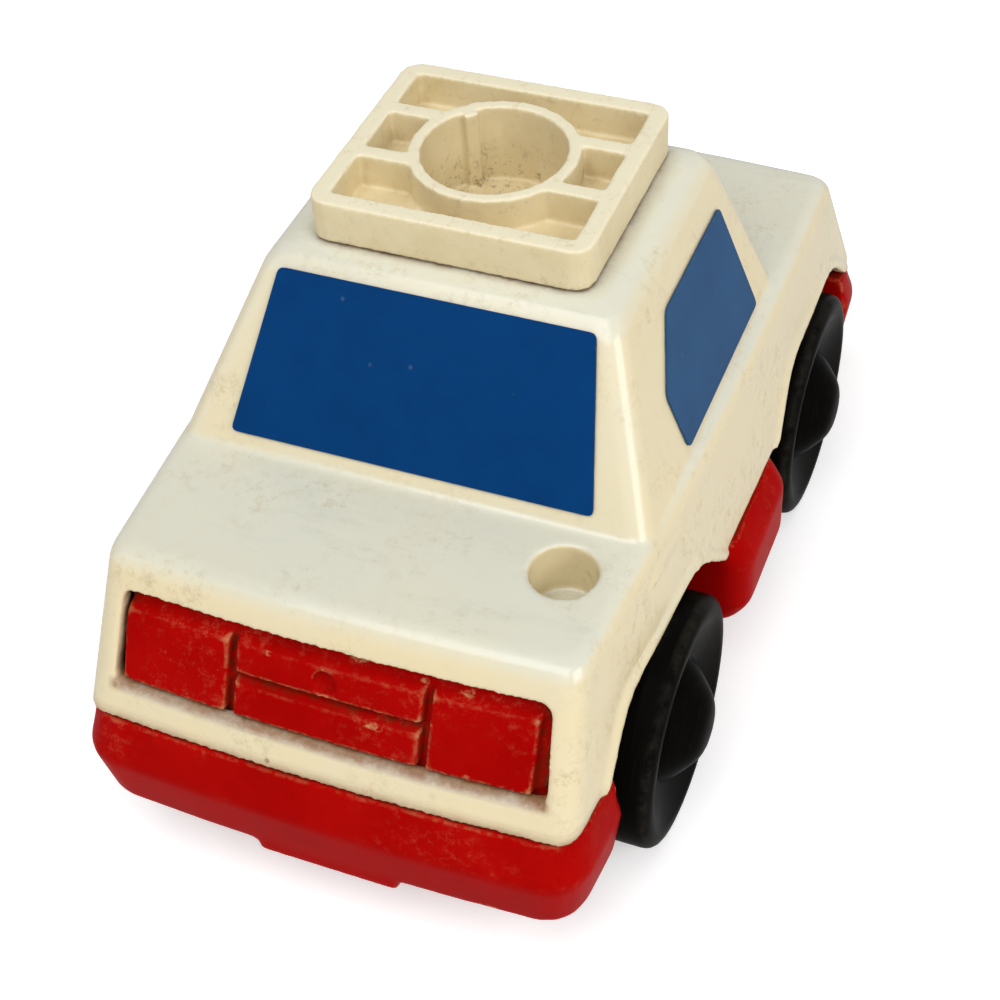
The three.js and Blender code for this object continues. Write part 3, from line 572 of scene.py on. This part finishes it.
    # Nicks filled with dirt, about 0.6 mm wide and only in some cells of a 5 mm net.
    nicks = add(tree, "ShaderNodeTexVoronoi", {
        "Vector": place, "Scale": per_metre(5), "Randomness": 1.0,
    })
    nick = add(tree, "ShaderNodeMapRange", {
        "Value": nicks.outputs["Distance"], "From Min": 0.09, "From Max": 0.04,
    }, interpolation_type="SMOOTHSTEP")
    chosen = add(tree, "ShaderNodeSeparateColor", {0: nicks.outputs["Color"]})
    chosen = add(tree, "ShaderNodeMath", {0: chosen.outputs[0], 1: 0.62}, operation="GREATER_THAN")
    nicked = add(tree, "ShaderNodeMath", {
        0: nick.outputs[0], 1: chosen.outputs[0],
    }, operation="MULTIPLY")
    nicked = add(tree, "ShaderNodeMath", {0: nicked.outputs[0], 1: 0.6}, operation="MULTIPLY")
    plastic = add(tree, "ShaderNodeMix", {
        0: nicked.outputs[0], 6: plastic.outputs[2], 7: linear("#6e5a3c"),
    }, data_type="RGBA")
    tree.links.new(plastic.outputs[2], shader.inputs["Base Color"])

    # The shine is dulled by dirt, and by fine rubbing over 9 mm.
    rubbed = add(tree, "ShaderNodeTexNoise", {
        "Vector": place, "Scale": per_metre(9), "Detail": 6.0, "Roughness": 0.65,
    })
    dull = add(tree, "ShaderNodeMapRange", {
        "Value": rubbed.outputs["Fac"], "From Min": 0.3, "From Max": 0.75,
        "To Min": 0.16, "To Max": 0.26,
    })
    grime = add(tree, "ShaderNodeMath", {
        0: dirt.outputs[0], 1: stain.outputs[0],
    }, operation="MAXIMUM")
    dull = add(tree, "ShaderNodeMath", {
        0: grime.outputs[0], 1: 0.45, 2: dull.outputs[0],
    }, operation="MULTIPLY_ADD")
    tree.links.new(dull.outputs[0], shader.inputs["Roughness"])

    # A slight unevenness of 2.5 mm from the mould, with the nicks sunk into it.
    waves = add(tree, "ShaderNodeTexNoise", {
        "Vector": place, "Scale": per_metre(2.5), "Detail": 1.0,
    })
    height = add(tree, "ShaderNodeMath", {
        0: nicked.outputs[0], 1: -1.2, 2: waves.outputs["Fac"],
    }, operation="MULTIPLY_ADD")
    relief = add(tree, "ShaderNodeBump", {
        "Strength": 0.25, "Distance": 0.05 * MM, "Height": height.outputs[0],
    })
    tree.links.new(relief.outputs[0], shader.inputs["Normal"])
    return made


def dull_beige_abs():
    """Moulded ABS that has lost its polish and gone beige. Its rim is rubbed paler, and its top is
    painted lighter for the light from above; its pockets are dusty, and its socket is spotted with
    old dirt."""
    made, tree, shader, place = material("abs_moulded_dulled_beige", {"IOR": ABS_IOR})
    surface = add(tree, "ShaderNodeNewGeometry")
    spot = add(tree, "ShaderNodeSeparateXYZ", {0: place})
    facing = add(tree, "ShaderNodeSeparateXYZ", {0: surface.outputs["Normal"]})

    # Beige clouds over 8 mm, paler on the rim: rubbed, and painted lighter on top for the light
    # from above.
    clouds = add(tree, "ShaderNodeTexNoise", {
        "Vector": place, "Scale": per_metre(8), "Detail": 5.0, "Roughness": 0.65,
    })
    tone = add(tree, "ShaderNodeMapRange", {
        "Value": clouds.outputs["Fac"], "From Min": 0.3, "From Max": 0.7,
    })
    plastic = add(tree, "ShaderNodeMix", {
        0: tone.outputs[0], 6: linear("#dac89c"), 7: linear("#e4d6b0"),
    }, data_type="RGBA")
    top = add(tree, "ShaderNodeMapRange", {
        "Value": spot.outputs["Z"], "From Min": 69.6 * MM, "From Max": 70.7 * MM,
    })
    level = add(tree, "ShaderNodeMapRange", {
        "Value": facing.outputs["Z"], "From Min": 0.3, "From Max": 0.9,
    })
    rim_wear_and_light = add(tree, "ShaderNodeMath", {
        0: top.outputs[0], 1: level.outputs[0],
    }, operation="MULTIPLY")
    rim_wear_and_light = add(tree, "ShaderNodeMath", {0: rim_wear_and_light.outputs[0], 1: 0.75}, operation="MULTIPLY")
    plastic = add(tree, "ShaderNodeMix", {
        0: rim_wear_and_light.outputs[0], 6: plastic.outputs[2], 7: linear("#efe8cc"),
    }, data_type="RGBA")

    # Pits and freckles of old dirt, about 0.8 mm wide.
    pits = add(tree, "ShaderNodeTexNoise", {
        "Vector": place, "Scale": per_metre(1.6), "Detail": 5.0, "Roughness": 0.8,
    })
    pitted = add(tree, "ShaderNodeMapRange", {
        "Value": pits.outputs["Fac"], "From Min": 0.55, "From Max": 0.8,
        "To Min": 0.0, "To Max": 0.5,
    })
    plastic = add(tree, "ShaderNodeMix", {
        0: pitted.outputs[0], 6: plastic.outputs[2], 7: linear("#a88a5c"),
    }, data_type="RGBA")

    # Dust in the inner corners, within 2.5 mm of them and patchy over 2.2 mm.
    crease = add(tree, "ShaderNodeAmbientOcclusion", {"Distance": 2.5 * MM}, samples=HOLLOW_SAMPLES)
    patches = add(tree, "ShaderNodeTexNoise", {
        "Vector": place, "Scale": per_metre(2.2), "Detail": 6.0, "Roughness": 0.75,
    })
    depth = add(tree, "ShaderNodeMapRange", {
        "Value": crease.outputs["AO"], "From Min": 0.75, "From Max": 0.2,
        "To Min": 0.0, "To Max": 0.5,
    }, interpolation_type="SMOOTHSTEP")
    patched = add(tree, "ShaderNodeMapRange", {
        "Value": patches.outputs["Fac"], "From Min": 0.35, "From Max": 0.62,
        "To Min": 0.3, "To Max": 1.0,
    })
    dust = add(tree, "ShaderNodeMath", {
        0: depth.outputs[0], 1: patched.outputs[0],
    }, operation="MULTIPLY")
    plastic = add(tree, "ShaderNodeMix", {
        0: dust.outputs[0], 6: plastic.outputs[2], 7: linear("#8a6c42"),
    }, data_type="RGBA")

    # Old dirt low in the socket, in grains of about 0.5 mm.
    grains = add(tree, "ShaderNodeTexNoise", {
        "Vector": place, "Scale": per_metre(1.1), "Detail": 4.0, "Roughness": 0.8,
    })
    low = add(tree, "ShaderNodeMapRange", {
        "Value": spot.outputs["Z"], "From Min": 67.5 * MM, "From Max": 61 * MM,
    })
    grained = add(tree, "ShaderNodeMapRange", {
        "Value": grains.outputs["Fac"], "From Min": 0.54, "From Max": 0.68,
        "To Min": 0.0, "To Max": 0.85,
    })
    dirty = add(tree, "ShaderNodeMath", {
        0: low.outputs[0], 1: grained.outputs[0],
    }, operation="MULTIPLY")
    plastic = add(tree, "ShaderNodeMix", {
        0: dirty.outputs[0], 6: plastic.outputs[2], 7: linear("#5c4a34"),
    }, data_type="RGBA")
    tree.links.new(plastic.outputs[2], shader.inputs["Base Color"])

    # Little polish is left, and the dusty patches stand up from it.
    dull = add(tree, "ShaderNodeMapRange", {
        "Value": clouds.outputs["Fac"], "From Min": 0.3, "From Max": 0.7,
        "To Min": 0.38, "To Max": 0.55,
    })
    tree.links.new(dull.outputs[0], shader.inputs["Roughness"])
    relief = add(tree, "ShaderNodeBump", {
        "Strength": 0.35, "Distance": 0.06 * MM, "Height": patches.outputs["Fac"],
    })
    tree.links.new(relief.outputs[0], shader.inputs["Normal"])
    return made


def scuffed_red_abs():
    """Red moulded ABS with a satin finish. Its raised edges are rubbed pale, brown dust and painted
    shade darken its grooves, and what faces up is peppered with fine pale scuffs."""
    made, tree, shader, place = material("abs_satin_moulded_red", {
        "IOR": ABS_IOR, "Specular IOR Level": RED_SHINE,
    })
    surface = add(tree, "ShaderNodeNewGeometry")
    facing = add(tree, "ShaderNodeSeparateXYZ", {0: surface.outputs["Normal"]})

    # Clouds of a slightly lighter red over 12 mm.
    clouds = add(tree, "ShaderNodeTexNoise", {
        "Vector": place, "Scale": per_metre(12), "Detail": 4.0, "Roughness": 0.6,
    })
    tone = add(tree, "ShaderNodeMapRange", {
        "Value": clouds.outputs["Fac"], "From Min": 0.3, "From Max": 0.7,
    })
    plastic = add(tree, "ShaderNodeMix", {
        0: tone.outputs[0], 6: linear("#9c0302"), 7: linear("#ae0805"),
    }, data_type="RGBA")

    # Fine pale scuffs of about 0.6 mm in fields of 11 mm, thickest on what faces up.
    grit = add(tree, "ShaderNodeTexNoise", {
        "Vector": place, "Scale": per_metre(1.3), "Detail": 8.0, "Roughness": 0.8,
    })
    fields = add(tree, "ShaderNodeTexNoise", {
        "Vector": place, "Scale": per_metre(11), "Detail": 3.0,
    })
    field = add(tree, "ShaderNodeMapRange", {
        "Value": fields.outputs["Fac"], "From Min": 0.42, "From Max": 0.6,
    })
    scuffed = add(tree, "ShaderNodeMapRange", {
        "Value": grit.outputs["Fac"], "From Min": 0.52, "From Max": 0.72,
        "To Min": 0.0, "To Max": 0.7,
    })
    up = add(tree, "ShaderNodeMapRange", {
        "Value": facing.outputs["Z"], "From Min": -0.1, "From Max": 0.7,
    })
    scuffs = add(tree, "ShaderNodeMath", {
        0: scuffed.outputs[0], 1: field.outputs[0],
    }, operation="MULTIPLY")
    scuffs = add(tree, "ShaderNodeMath", {
        0: scuffs.outputs[0], 1: up.outputs[0],
    }, operation="MULTIPLY")
    plastic = add(tree, "ShaderNodeMix", {
        0: scuffs.outputs[0], 6: plastic.outputs[2], 7: linear("#c4553c"),
    }, data_type="RGBA")

    # Raised edges rubbed through to a tan bloom, in broken runs of 2 mm.
    runs = add(tree, "ShaderNodeTexNoise", {
        "Vector": place, "Scale": per_metre(2), "Detail": 6.0, "Roughness": 0.75,
    })
    broken = add(tree, "ShaderNodeMapRange", {
        "Value": runs.outputs["Fac"], "From Min": 0.44, "From Max": 0.56,
    })
    raised = add(tree, "ShaderNodeMapRange", {
        "Value": surface.outputs["Pointiness"], "From Min": 0.515, "From Max": 0.56,
        "To Min": 0.0, "To Max": 0.85,
    })
    rubbed = add(tree, "ShaderNodeMath", {
        0: raised.outputs[0], 1: broken.outputs[0],
    }, operation="MULTIPLY")
    plastic = add(tree, "ShaderNodeMix", {
        0: rubbed.outputs[0], 6: plastic.outputs[2], 7: linear("#c98d62"),
    }, data_type="RGBA")

    # Brown dust and painted shade in the grooves and where the panel meets the body, within 2.2 mm
    # of their depth.
    groove_dust_and_shade_ao = add(tree, "ShaderNodeAmbientOcclusion", {"Distance": 2.2 * MM}, samples=HOLLOW_SAMPLES)
    depth = add(tree, "ShaderNodeMapRange", {
        "Value": groove_dust_and_shade_ao.outputs["AO"], "From Min": 0.85, "From Max": 0.45,
        "To Min": 0.0, "To Max": 0.85,
    }, interpolation_type="SMOOTHSTEP")
    dust = add(tree, "ShaderNodeMath", {
        0: depth.outputs[0], 1: broken.outputs[0],
    }, operation="MULTIPLY")
    plastic = add(tree, "ShaderNodeMix", {
        0: dust.outputs[0], 6: plastic.outputs[2], 7: linear("#6e2410"),
    }, data_type="RGBA")
    tree.links.new(plastic.outputs[2], shader.inputs["Base Color"])

    # The scuffs are duller than the plastic round them, and rough to the touch.
    dull = add(tree, "ShaderNodeMapRange", {
        "Value": clouds.outputs["Fac"], "From Min": 0.3, "From Max": 0.7,
        "To Min": 0.28, "To Max": 0.4,
    })
    dull = add(tree, "ShaderNodeMath", {
        0: scuffs.outputs[0], 1: 0.4, 2: dull.outputs[0],
    }, operation="MULTIPLY_ADD")
    tree.links.new(dull.outputs[0], shader.inputs["Roughness"])
    relief = add(tree, "ShaderNodeBump", {
        "Strength": 0.3, "Distance": 0.05 * MM, "Height": grit.outputs["Fac"],
    })
    tree.links.new(relief.outputs[0], shader.inputs["Normal"])
    return made


def blue_vinyl_film(name, ink, blotch_ink):
    """Printed vinyl film: an even ink with faint blotches of 7 mm, and a few rubbed specks of
    dust."""
    made, tree, shader, place = material(name, {
        "IOR": FILM_IOR, "Specular IOR Level": BLUE_SHINE,
    })
    clouds = add(tree, "ShaderNodeTexNoise", {
        "Vector": place, "Scale": per_metre(7), "Detail": 5.0, "Roughness": 0.6,
    })
    tone = add(tree, "ShaderNodeMapRange", {
        "Value": clouds.outputs["Fac"], "From Min": 0.3, "From Max": 0.75,
    })
    film = add(tree, "ShaderNodeMix", {
        0: tone.outputs[0], 6: linear(ink), 7: linear(blotch_ink),
    }, data_type="RGBA")

    # Dust specks of about 0.5 mm in some cells of a 4 mm net.
    specks = add(tree, "ShaderNodeTexVoronoi", {
        "Vector": place, "Scale": per_metre(4), "Randomness": 1.0,
    })
    speck = add(tree, "ShaderNodeMapRange", {
        "Value": specks.outputs["Distance"], "From Min": 0.09, "From Max": 0.03,
    })
    chosen = add(tree, "ShaderNodeSeparateColor", {0: specks.outputs["Color"]})
    chosen = add(tree, "ShaderNodeMath", {0: chosen.outputs[1], 1: 0.7}, operation="GREATER_THAN")
    dusty = add(tree, "ShaderNodeMath", {
        0: speck.outputs[0], 1: chosen.outputs[0],
    }, operation="MULTIPLY")
    dusty = add(tree, "ShaderNodeMath", {0: dusty.outputs[0], 1: 0.25}, operation="MULTIPLY")
    film = add(tree, "ShaderNodeMix", {
        0: dusty.outputs[0], 6: film.outputs[2], 7: linear("#6d8299"),
    }, data_type="RGBA")
    tree.links.new(film.outputs[2], shader.inputs["Base Color"])

    rubbed = add(tree, "ShaderNodeMapRange", {
        "Value": clouds.outputs["Fac"], "From Min": 0.3, "From Max": 0.75,
        "To Min": 0.36, "To Max": 0.5,
    })
    tree.links.new(rubbed.outputs[0], shader.inputs["Roughness"])
    # The film's grain is finer than a pixel, so it is drawn at 0.5 mm.
    grain = add(tree, "ShaderNodeTexNoise", {
        "Vector": place, "Scale": per_metre(0.5), "Detail": 2.0,
    })
    relief = add(tree, "ShaderNodeBump", {
        "Strength": 0.15, "Distance": 0.02 * MM, "Height": grain.outputs["Fac"],
    })
    tree.links.new(relief.outputs[0], shader.inputs["Normal"])
    return made


def dusty_black_polyethylene():
    """Black moulded polyethylene, waxy. Grey dust sits on the edges and in the dish of each wheel,
    and rolling has drawn fine lines round it."""
    made, tree, shader, place = material("polyethylene_moulded_black", {
        "IOR": POLYETHYLENE_IOR, "Specular IOR Level": BLACK_SHINE,
    })
    surface = add(tree, "ShaderNodeNewGeometry")
    around = add(tree, "ShaderNodeUVMap", uv_map="around").outputs[0]

    # Lines of 0.5 mm that run 12 mm round the wheel before they change.
    line_place = add(tree, "ShaderNodeMapping", {
        "Vector": around, "Scale": (per_metre(12), per_metre(0.5), 1.0),
    })
    lines = add(tree, "ShaderNodeTexNoise", {
        "Vector": line_place.outputs[0], "Scale": 1.0, "Detail": 4.0, "Roughness": 0.6,
    })
    lined = add(tree, "ShaderNodeMapRange", {
        "Value": lines.outputs["Fac"], "From Min": 0.5, "From Max": 0.8,
        "To Min": 0.0, "To Max": 0.1,
    })
    plastic = add(tree, "ShaderNodeMix", {
        0: lined.outputs[0], 6: linear("#0a0908"), 7: linear("#3a3631"),
    }, data_type="RGBA")

    # Dust on raised edges and within 2 mm of the hollows, in patches of 2.5 mm.
    patches = add(tree, "ShaderNodeTexNoise", {
        "Vector": place, "Scale": per_metre(2.5), "Detail": 6.0, "Roughness": 0.7,
    })
    patched = add(tree, "ShaderNodeMapRange", {
        "Value": patches.outputs["Fac"], "From Min": 0.4, "From Max": 0.65,
    })
    raised = add(tree, "ShaderNodeMapRange", {
        "Value": surface.outputs["Pointiness"], "From Min": 0.52, "From Max": 0.56,
        "To Min": 0.0, "To Max": 0.6,
    })
    hollow = add(tree, "ShaderNodeAmbientOcclusion", {"Distance": 2 * MM}, samples=HOLLOW_SAMPLES)
    settled = add(tree, "ShaderNodeMapRange", {
        "Value": hollow.outputs["AO"], "From Min": 0.7, "From Max": 0.3,
        "To Min": 0.0, "To Max": 0.2,
    })
    dust = add(tree, "ShaderNodeMath", {
        0: raised.outputs[0], 1: settled.outputs[0],
    }, operation="ADD")
    dust = add(tree, "ShaderNodeMath", {
        0: dust.outputs[0], 1: patched.outputs[0],
    }, operation="MULTIPLY")
    plastic = add(tree, "ShaderNodeMix", {
        0: dust.outputs[0], 6: plastic.outputs[2], 7: linear("#5a554c"),
    }, data_type="RGBA")
    tree.links.new(plastic.outputs[2], shader.inputs["Base Color"])

    dull = add(tree, "ShaderNodeMath", {
        0: dust.outputs[0], 1: 0.6, 2: 0.29,
    }, operation="MULTIPLY_ADD")
    dull = add(tree, "ShaderNodeMath", {
        0: lined.outputs[0], 1: 0.8, 2: dull.outputs[0],
    }, operation="MULTIPLY_ADD")
    tree.links.new(dull.outputs[0], shader.inputs["Roughness"])
    relief = add(tree, "ShaderNodeBump", {
        "Strength": 0.2, "Distance": 0.04 * MM, "Height": lines.outputs["Fac"],
    })
    tree.links.new(relief.outputs[0], shader.inputs["Normal"])
    return made


def drawn_steel():
    """Bright drawn steel rod: fine lines along it from the die, and a little tarnish."""
    made, tree, shader, place = material("steel_drawn_bright", {"Metallic": 1.0})

    # Lines of 0.35 mm that run 9 mm along the rod before they change.
    line_place = add(tree, "ShaderNodeMapping", {
        "Vector": place, "Scale": (per_metre(9), per_metre(0.35), per_metre(0.35)),
    })
    lines = add(tree, "ShaderNodeTexNoise", {
        "Vector": line_place.outputs[0], "Scale": 1.0, "Detail": 4.0,
    })
    steel = add(tree, "ShaderNodeMix", {
        0: lines.outputs["Fac"], 6: linear("#8f8d88"), 7: linear("#c3c3c0"),
    }, data_type="RGBA")
    tree.links.new(steel.outputs[2], shader.inputs["Base Color"])
    dull = add(tree, "ShaderNodeMapRange", {
        "Value": lines.outputs["Fac"], "To Min": 0.22, "To Max": 0.42,
    })
    tree.links.new(dull.outputs[0], shader.inputs["Roughness"])
    relief = add(tree, "ShaderNodeBump", {
        "Strength": 0.2, "Distance": 0.02 * MM, "Height": lines.outputs["Fac"],
    })
    tree.links.new(relief.outputs[0], shader.inputs["Normal"])
    return made


def zinc_plated_steel():
    """Zinc-plated steel: a grey passivated skin with a cloudy bloom of 1.2 mm."""
    made, tree, shader, place = material("steel_zinc_plated", {"Metallic": 1.0})
    bloom = add(tree, "ShaderNodeTexNoise", {
        "Vector": place, "Scale": per_metre(1.2), "Detail": 5.0, "Roughness": 0.7,
    })
    zinc = add(tree, "ShaderNodeMix", {
        0: bloom.outputs["Fac"], 6: linear("#7d7d79"), 7: linear("#b9bab6"),
    }, data_type="RGBA")
    tree.links.new(zinc.outputs[2], shader.inputs["Base Color"])
    dull = add(tree, "ShaderNodeMapRange", {
        "Value": bloom.outputs["Fac"], "To Min": 0.3, "To Max": 0.55,
    })
    tree.links.new(dull.outputs[0], shader.inputs["Roughness"])
    return made


def studio_floor():
    """Matt white board. To the camera it is lifted a little towards white, and it keeps the car's
    shadow."""
    made = bpy.data.materials.new("board_matt_white")
    made.use_nodes = True
    tree = made.node_tree
    tree.nodes.clear()
    board = add(tree, "ShaderNodeBsdfDiffuse", {"Color": linear("#f6f6f6")})
    rays = add(tree, "ShaderNodeLightPath")
    lift = add(tree, "ShaderNodeMath", {
        0: rays.outputs["Is Camera Ray"], 1: FLOOR_LIFT,
    }, operation="MULTIPLY")
    glow = add(tree, "ShaderNodeEmission", {"Strength": lift.outputs[0]})
    both = add(tree, "ShaderNodeAddShader", {0: board.outputs[0], 1: glow.outputs[0]})
    add(tree, "ShaderNodeOutputMaterial", {"Surface": both.outputs[0]})
    return made


# The car

ivory = aged_ivory_abs()
beige = dull_beige_abs()
red = scuffed_red_abs()
window_blue = blue_vinyl_film("vinyl_film_printed_blue", "#003468", "#003b72")
# The side labels are the same blue film painted lighter: a painted sheen of the light from the
# right.
sheen_lit_blue = blue_vinyl_film("vinyl_film_printed_blue_painted_sheen", "#244a72", "#2e557d")
black = dusty_black_polyethylene()
steel = drawn_steel()
zinc = zinc_plated_steel()

body = link("ivory_body", merged_copy("body_shell"))
reskin(body, BODY_PITCH, BODY_PASSES)
finish_moulding(body, "body_shell", BODY_SHARE, ivory)

tray = link("socket_tray", merged_copy("roof_light_tray"))
reskin(tray, TRAY_PITCH, TRAY_PASSES)
finish_moulding(tray, "roof_light_tray", TRAY_SHARE, beige)

chassis = link("red_chassis", merged_copy("chassis"))
fill_middle_grooves(chassis.data)
reskin(chassis, CHASSIS_PITCH, CHASSIS_FIRST_PASSES)
shape_chassis(chassis)
reskin(chassis, CHASSIS_PITCH, CHASSIS_LAST_PASSES)
finish_moulding(chassis, "chassis", CHASSIS_SHARE, red)

wheel = turned_wheel()
wheel_tree = wheel_pair_tree()
for end, axle_y in (("rear", REAR_AXLE_Y), ("front", FRONT_AXLE_Y)):
    pair = placed_pieces(f"{end}_wheels", wheel_tree, wheel, black, {
        "Track": TRACK, "Axle Y": axle_y, "Axle Height": WHEEL_RADIUS,
    })
    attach(pair, f"{end}_wheelset")
    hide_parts(f"{end}_left_wheel", f"{end}_right_wheel")
bpy.data.objects.remove(wheel)

screw = link("screw", merged_copy("rear_left_screw"))
to_origin = Vector((SCREW_SPACING_X / 2, SCREW_SPACING_Y / 2, -SCREW_SEAT_Z)) * MM
screw.data.transform(Matrix.Translation(to_origin))
screws = placed_pieces("chassis_screws", screw_pattern_tree(), screw, zinc, {
    "Spacing X": SCREW_SPACING_X, "Spacing Y": SCREW_SPACING_Y, "Seat Height": SCREW_SEAT_Z,
})
screws.data.set_sharp_from_angle(angle=SCREW_EDGE)
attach(screws, "car")
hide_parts("rear_left_screw", "rear_right_screw", "front_left_screw", "front_right_screw")
bpy.data.objects.remove(screw)

for node, finish in (
    ("rear_window_label", window_blue), ("front_window_label", window_blue),
    ("left_window_label", sheen_lit_blue), ("right_window_label", sheen_lit_blue),
    ("rear_axle", steel), ("front_axle", steel),
):
    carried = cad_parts[node]
    carried.data.materials.clear()
    carried.data.materials.append(finish)

# Stage, light and camera

floor_mesh = bpy.data.meshes.new("studio_floor")
floor_mesh.from_pydata([
    (-FLOOR_HALF, -FLOOR_HALF, 0), (FLOOR_HALF, -FLOOR_HALF, 0),
    (FLOOR_HALF, FLOOR_HALF, 0), (-FLOOR_HALF, FLOOR_HALF, 0),
], [], [(0, 1, 2, 3)])
floor = link("studio_floor", floor_mesh)
floor_mesh.materials.append(studio_floor())

for name, place, side, watts in SOFT_BOXES:
    lamp = bpy.data.lights.new(name, "AREA")
    lamp.shape = "SQUARE"
    lamp.size = side
    lamp.energy = watts
    box = link(name, lamp)
    box.location = place
    box.rotation_mode = "QUATERNION"
    box.rotation_quaternion = (Vector(LIGHT_AIM) - Vector(place)).to_track_quat("-Z", "Y")

# The world lights the car less than it shows, so that the ground behind the car is white.
world = bpy.data.worlds.new("white_studio")
world.use_nodes = True
sky = world.node_tree
sky.nodes.clear()
rays = add(sky, "ShaderNodeLightPath")
seen = add(sky, "ShaderNodeMath", {
    0: rays.outputs["Is Camera Ray"], 1: rays.outputs["Is Glossy Ray"],
}, operation="MAXIMUM")
seen = add(sky, "ShaderNodeMath", {
    0: seen.outputs[0], 1: rays.outputs["Is Transmission Ray"],
}, operation="MAXIMUM")
lit = add(sky, "ShaderNodeBackground", {"Color": linear("#ffffff"), "Strength": WORLD_LIT})
shown = add(sky, "ShaderNodeBackground", {"Color": linear("#ffffff"), "Strength": WORLD_SHOWN})
either = add(sky, "ShaderNodeMixShader", {
    0: seen.outputs[0], 1: lit.outputs[0], 2: shown.outputs[0],
})
add(sky, "ShaderNodeOutputWorld", {"Surface": either.outputs[0]})
scene.world = world
scene.view_settings.view_transform = "Standard"

camera = link("camera", bpy.data.cameras.new("camera"))
camera.data.lens = CAMERA_LENS
camera.data.sensor_width = CAMERA_SENSOR
camera.data.clip_start = CAMERA_NEAR
camera.location = Vector(CAMERA_PLACE) * MM
camera.rotation_mode = "QUATERNION"
roll = Quaternion((0, 0, 1), math.radians(CAMERA_ROLL))
camera.rotation_quaternion = Vector(CAMERA_AIM).to_track_quat("-Z", "Y") @ roll
scene.camera = camera
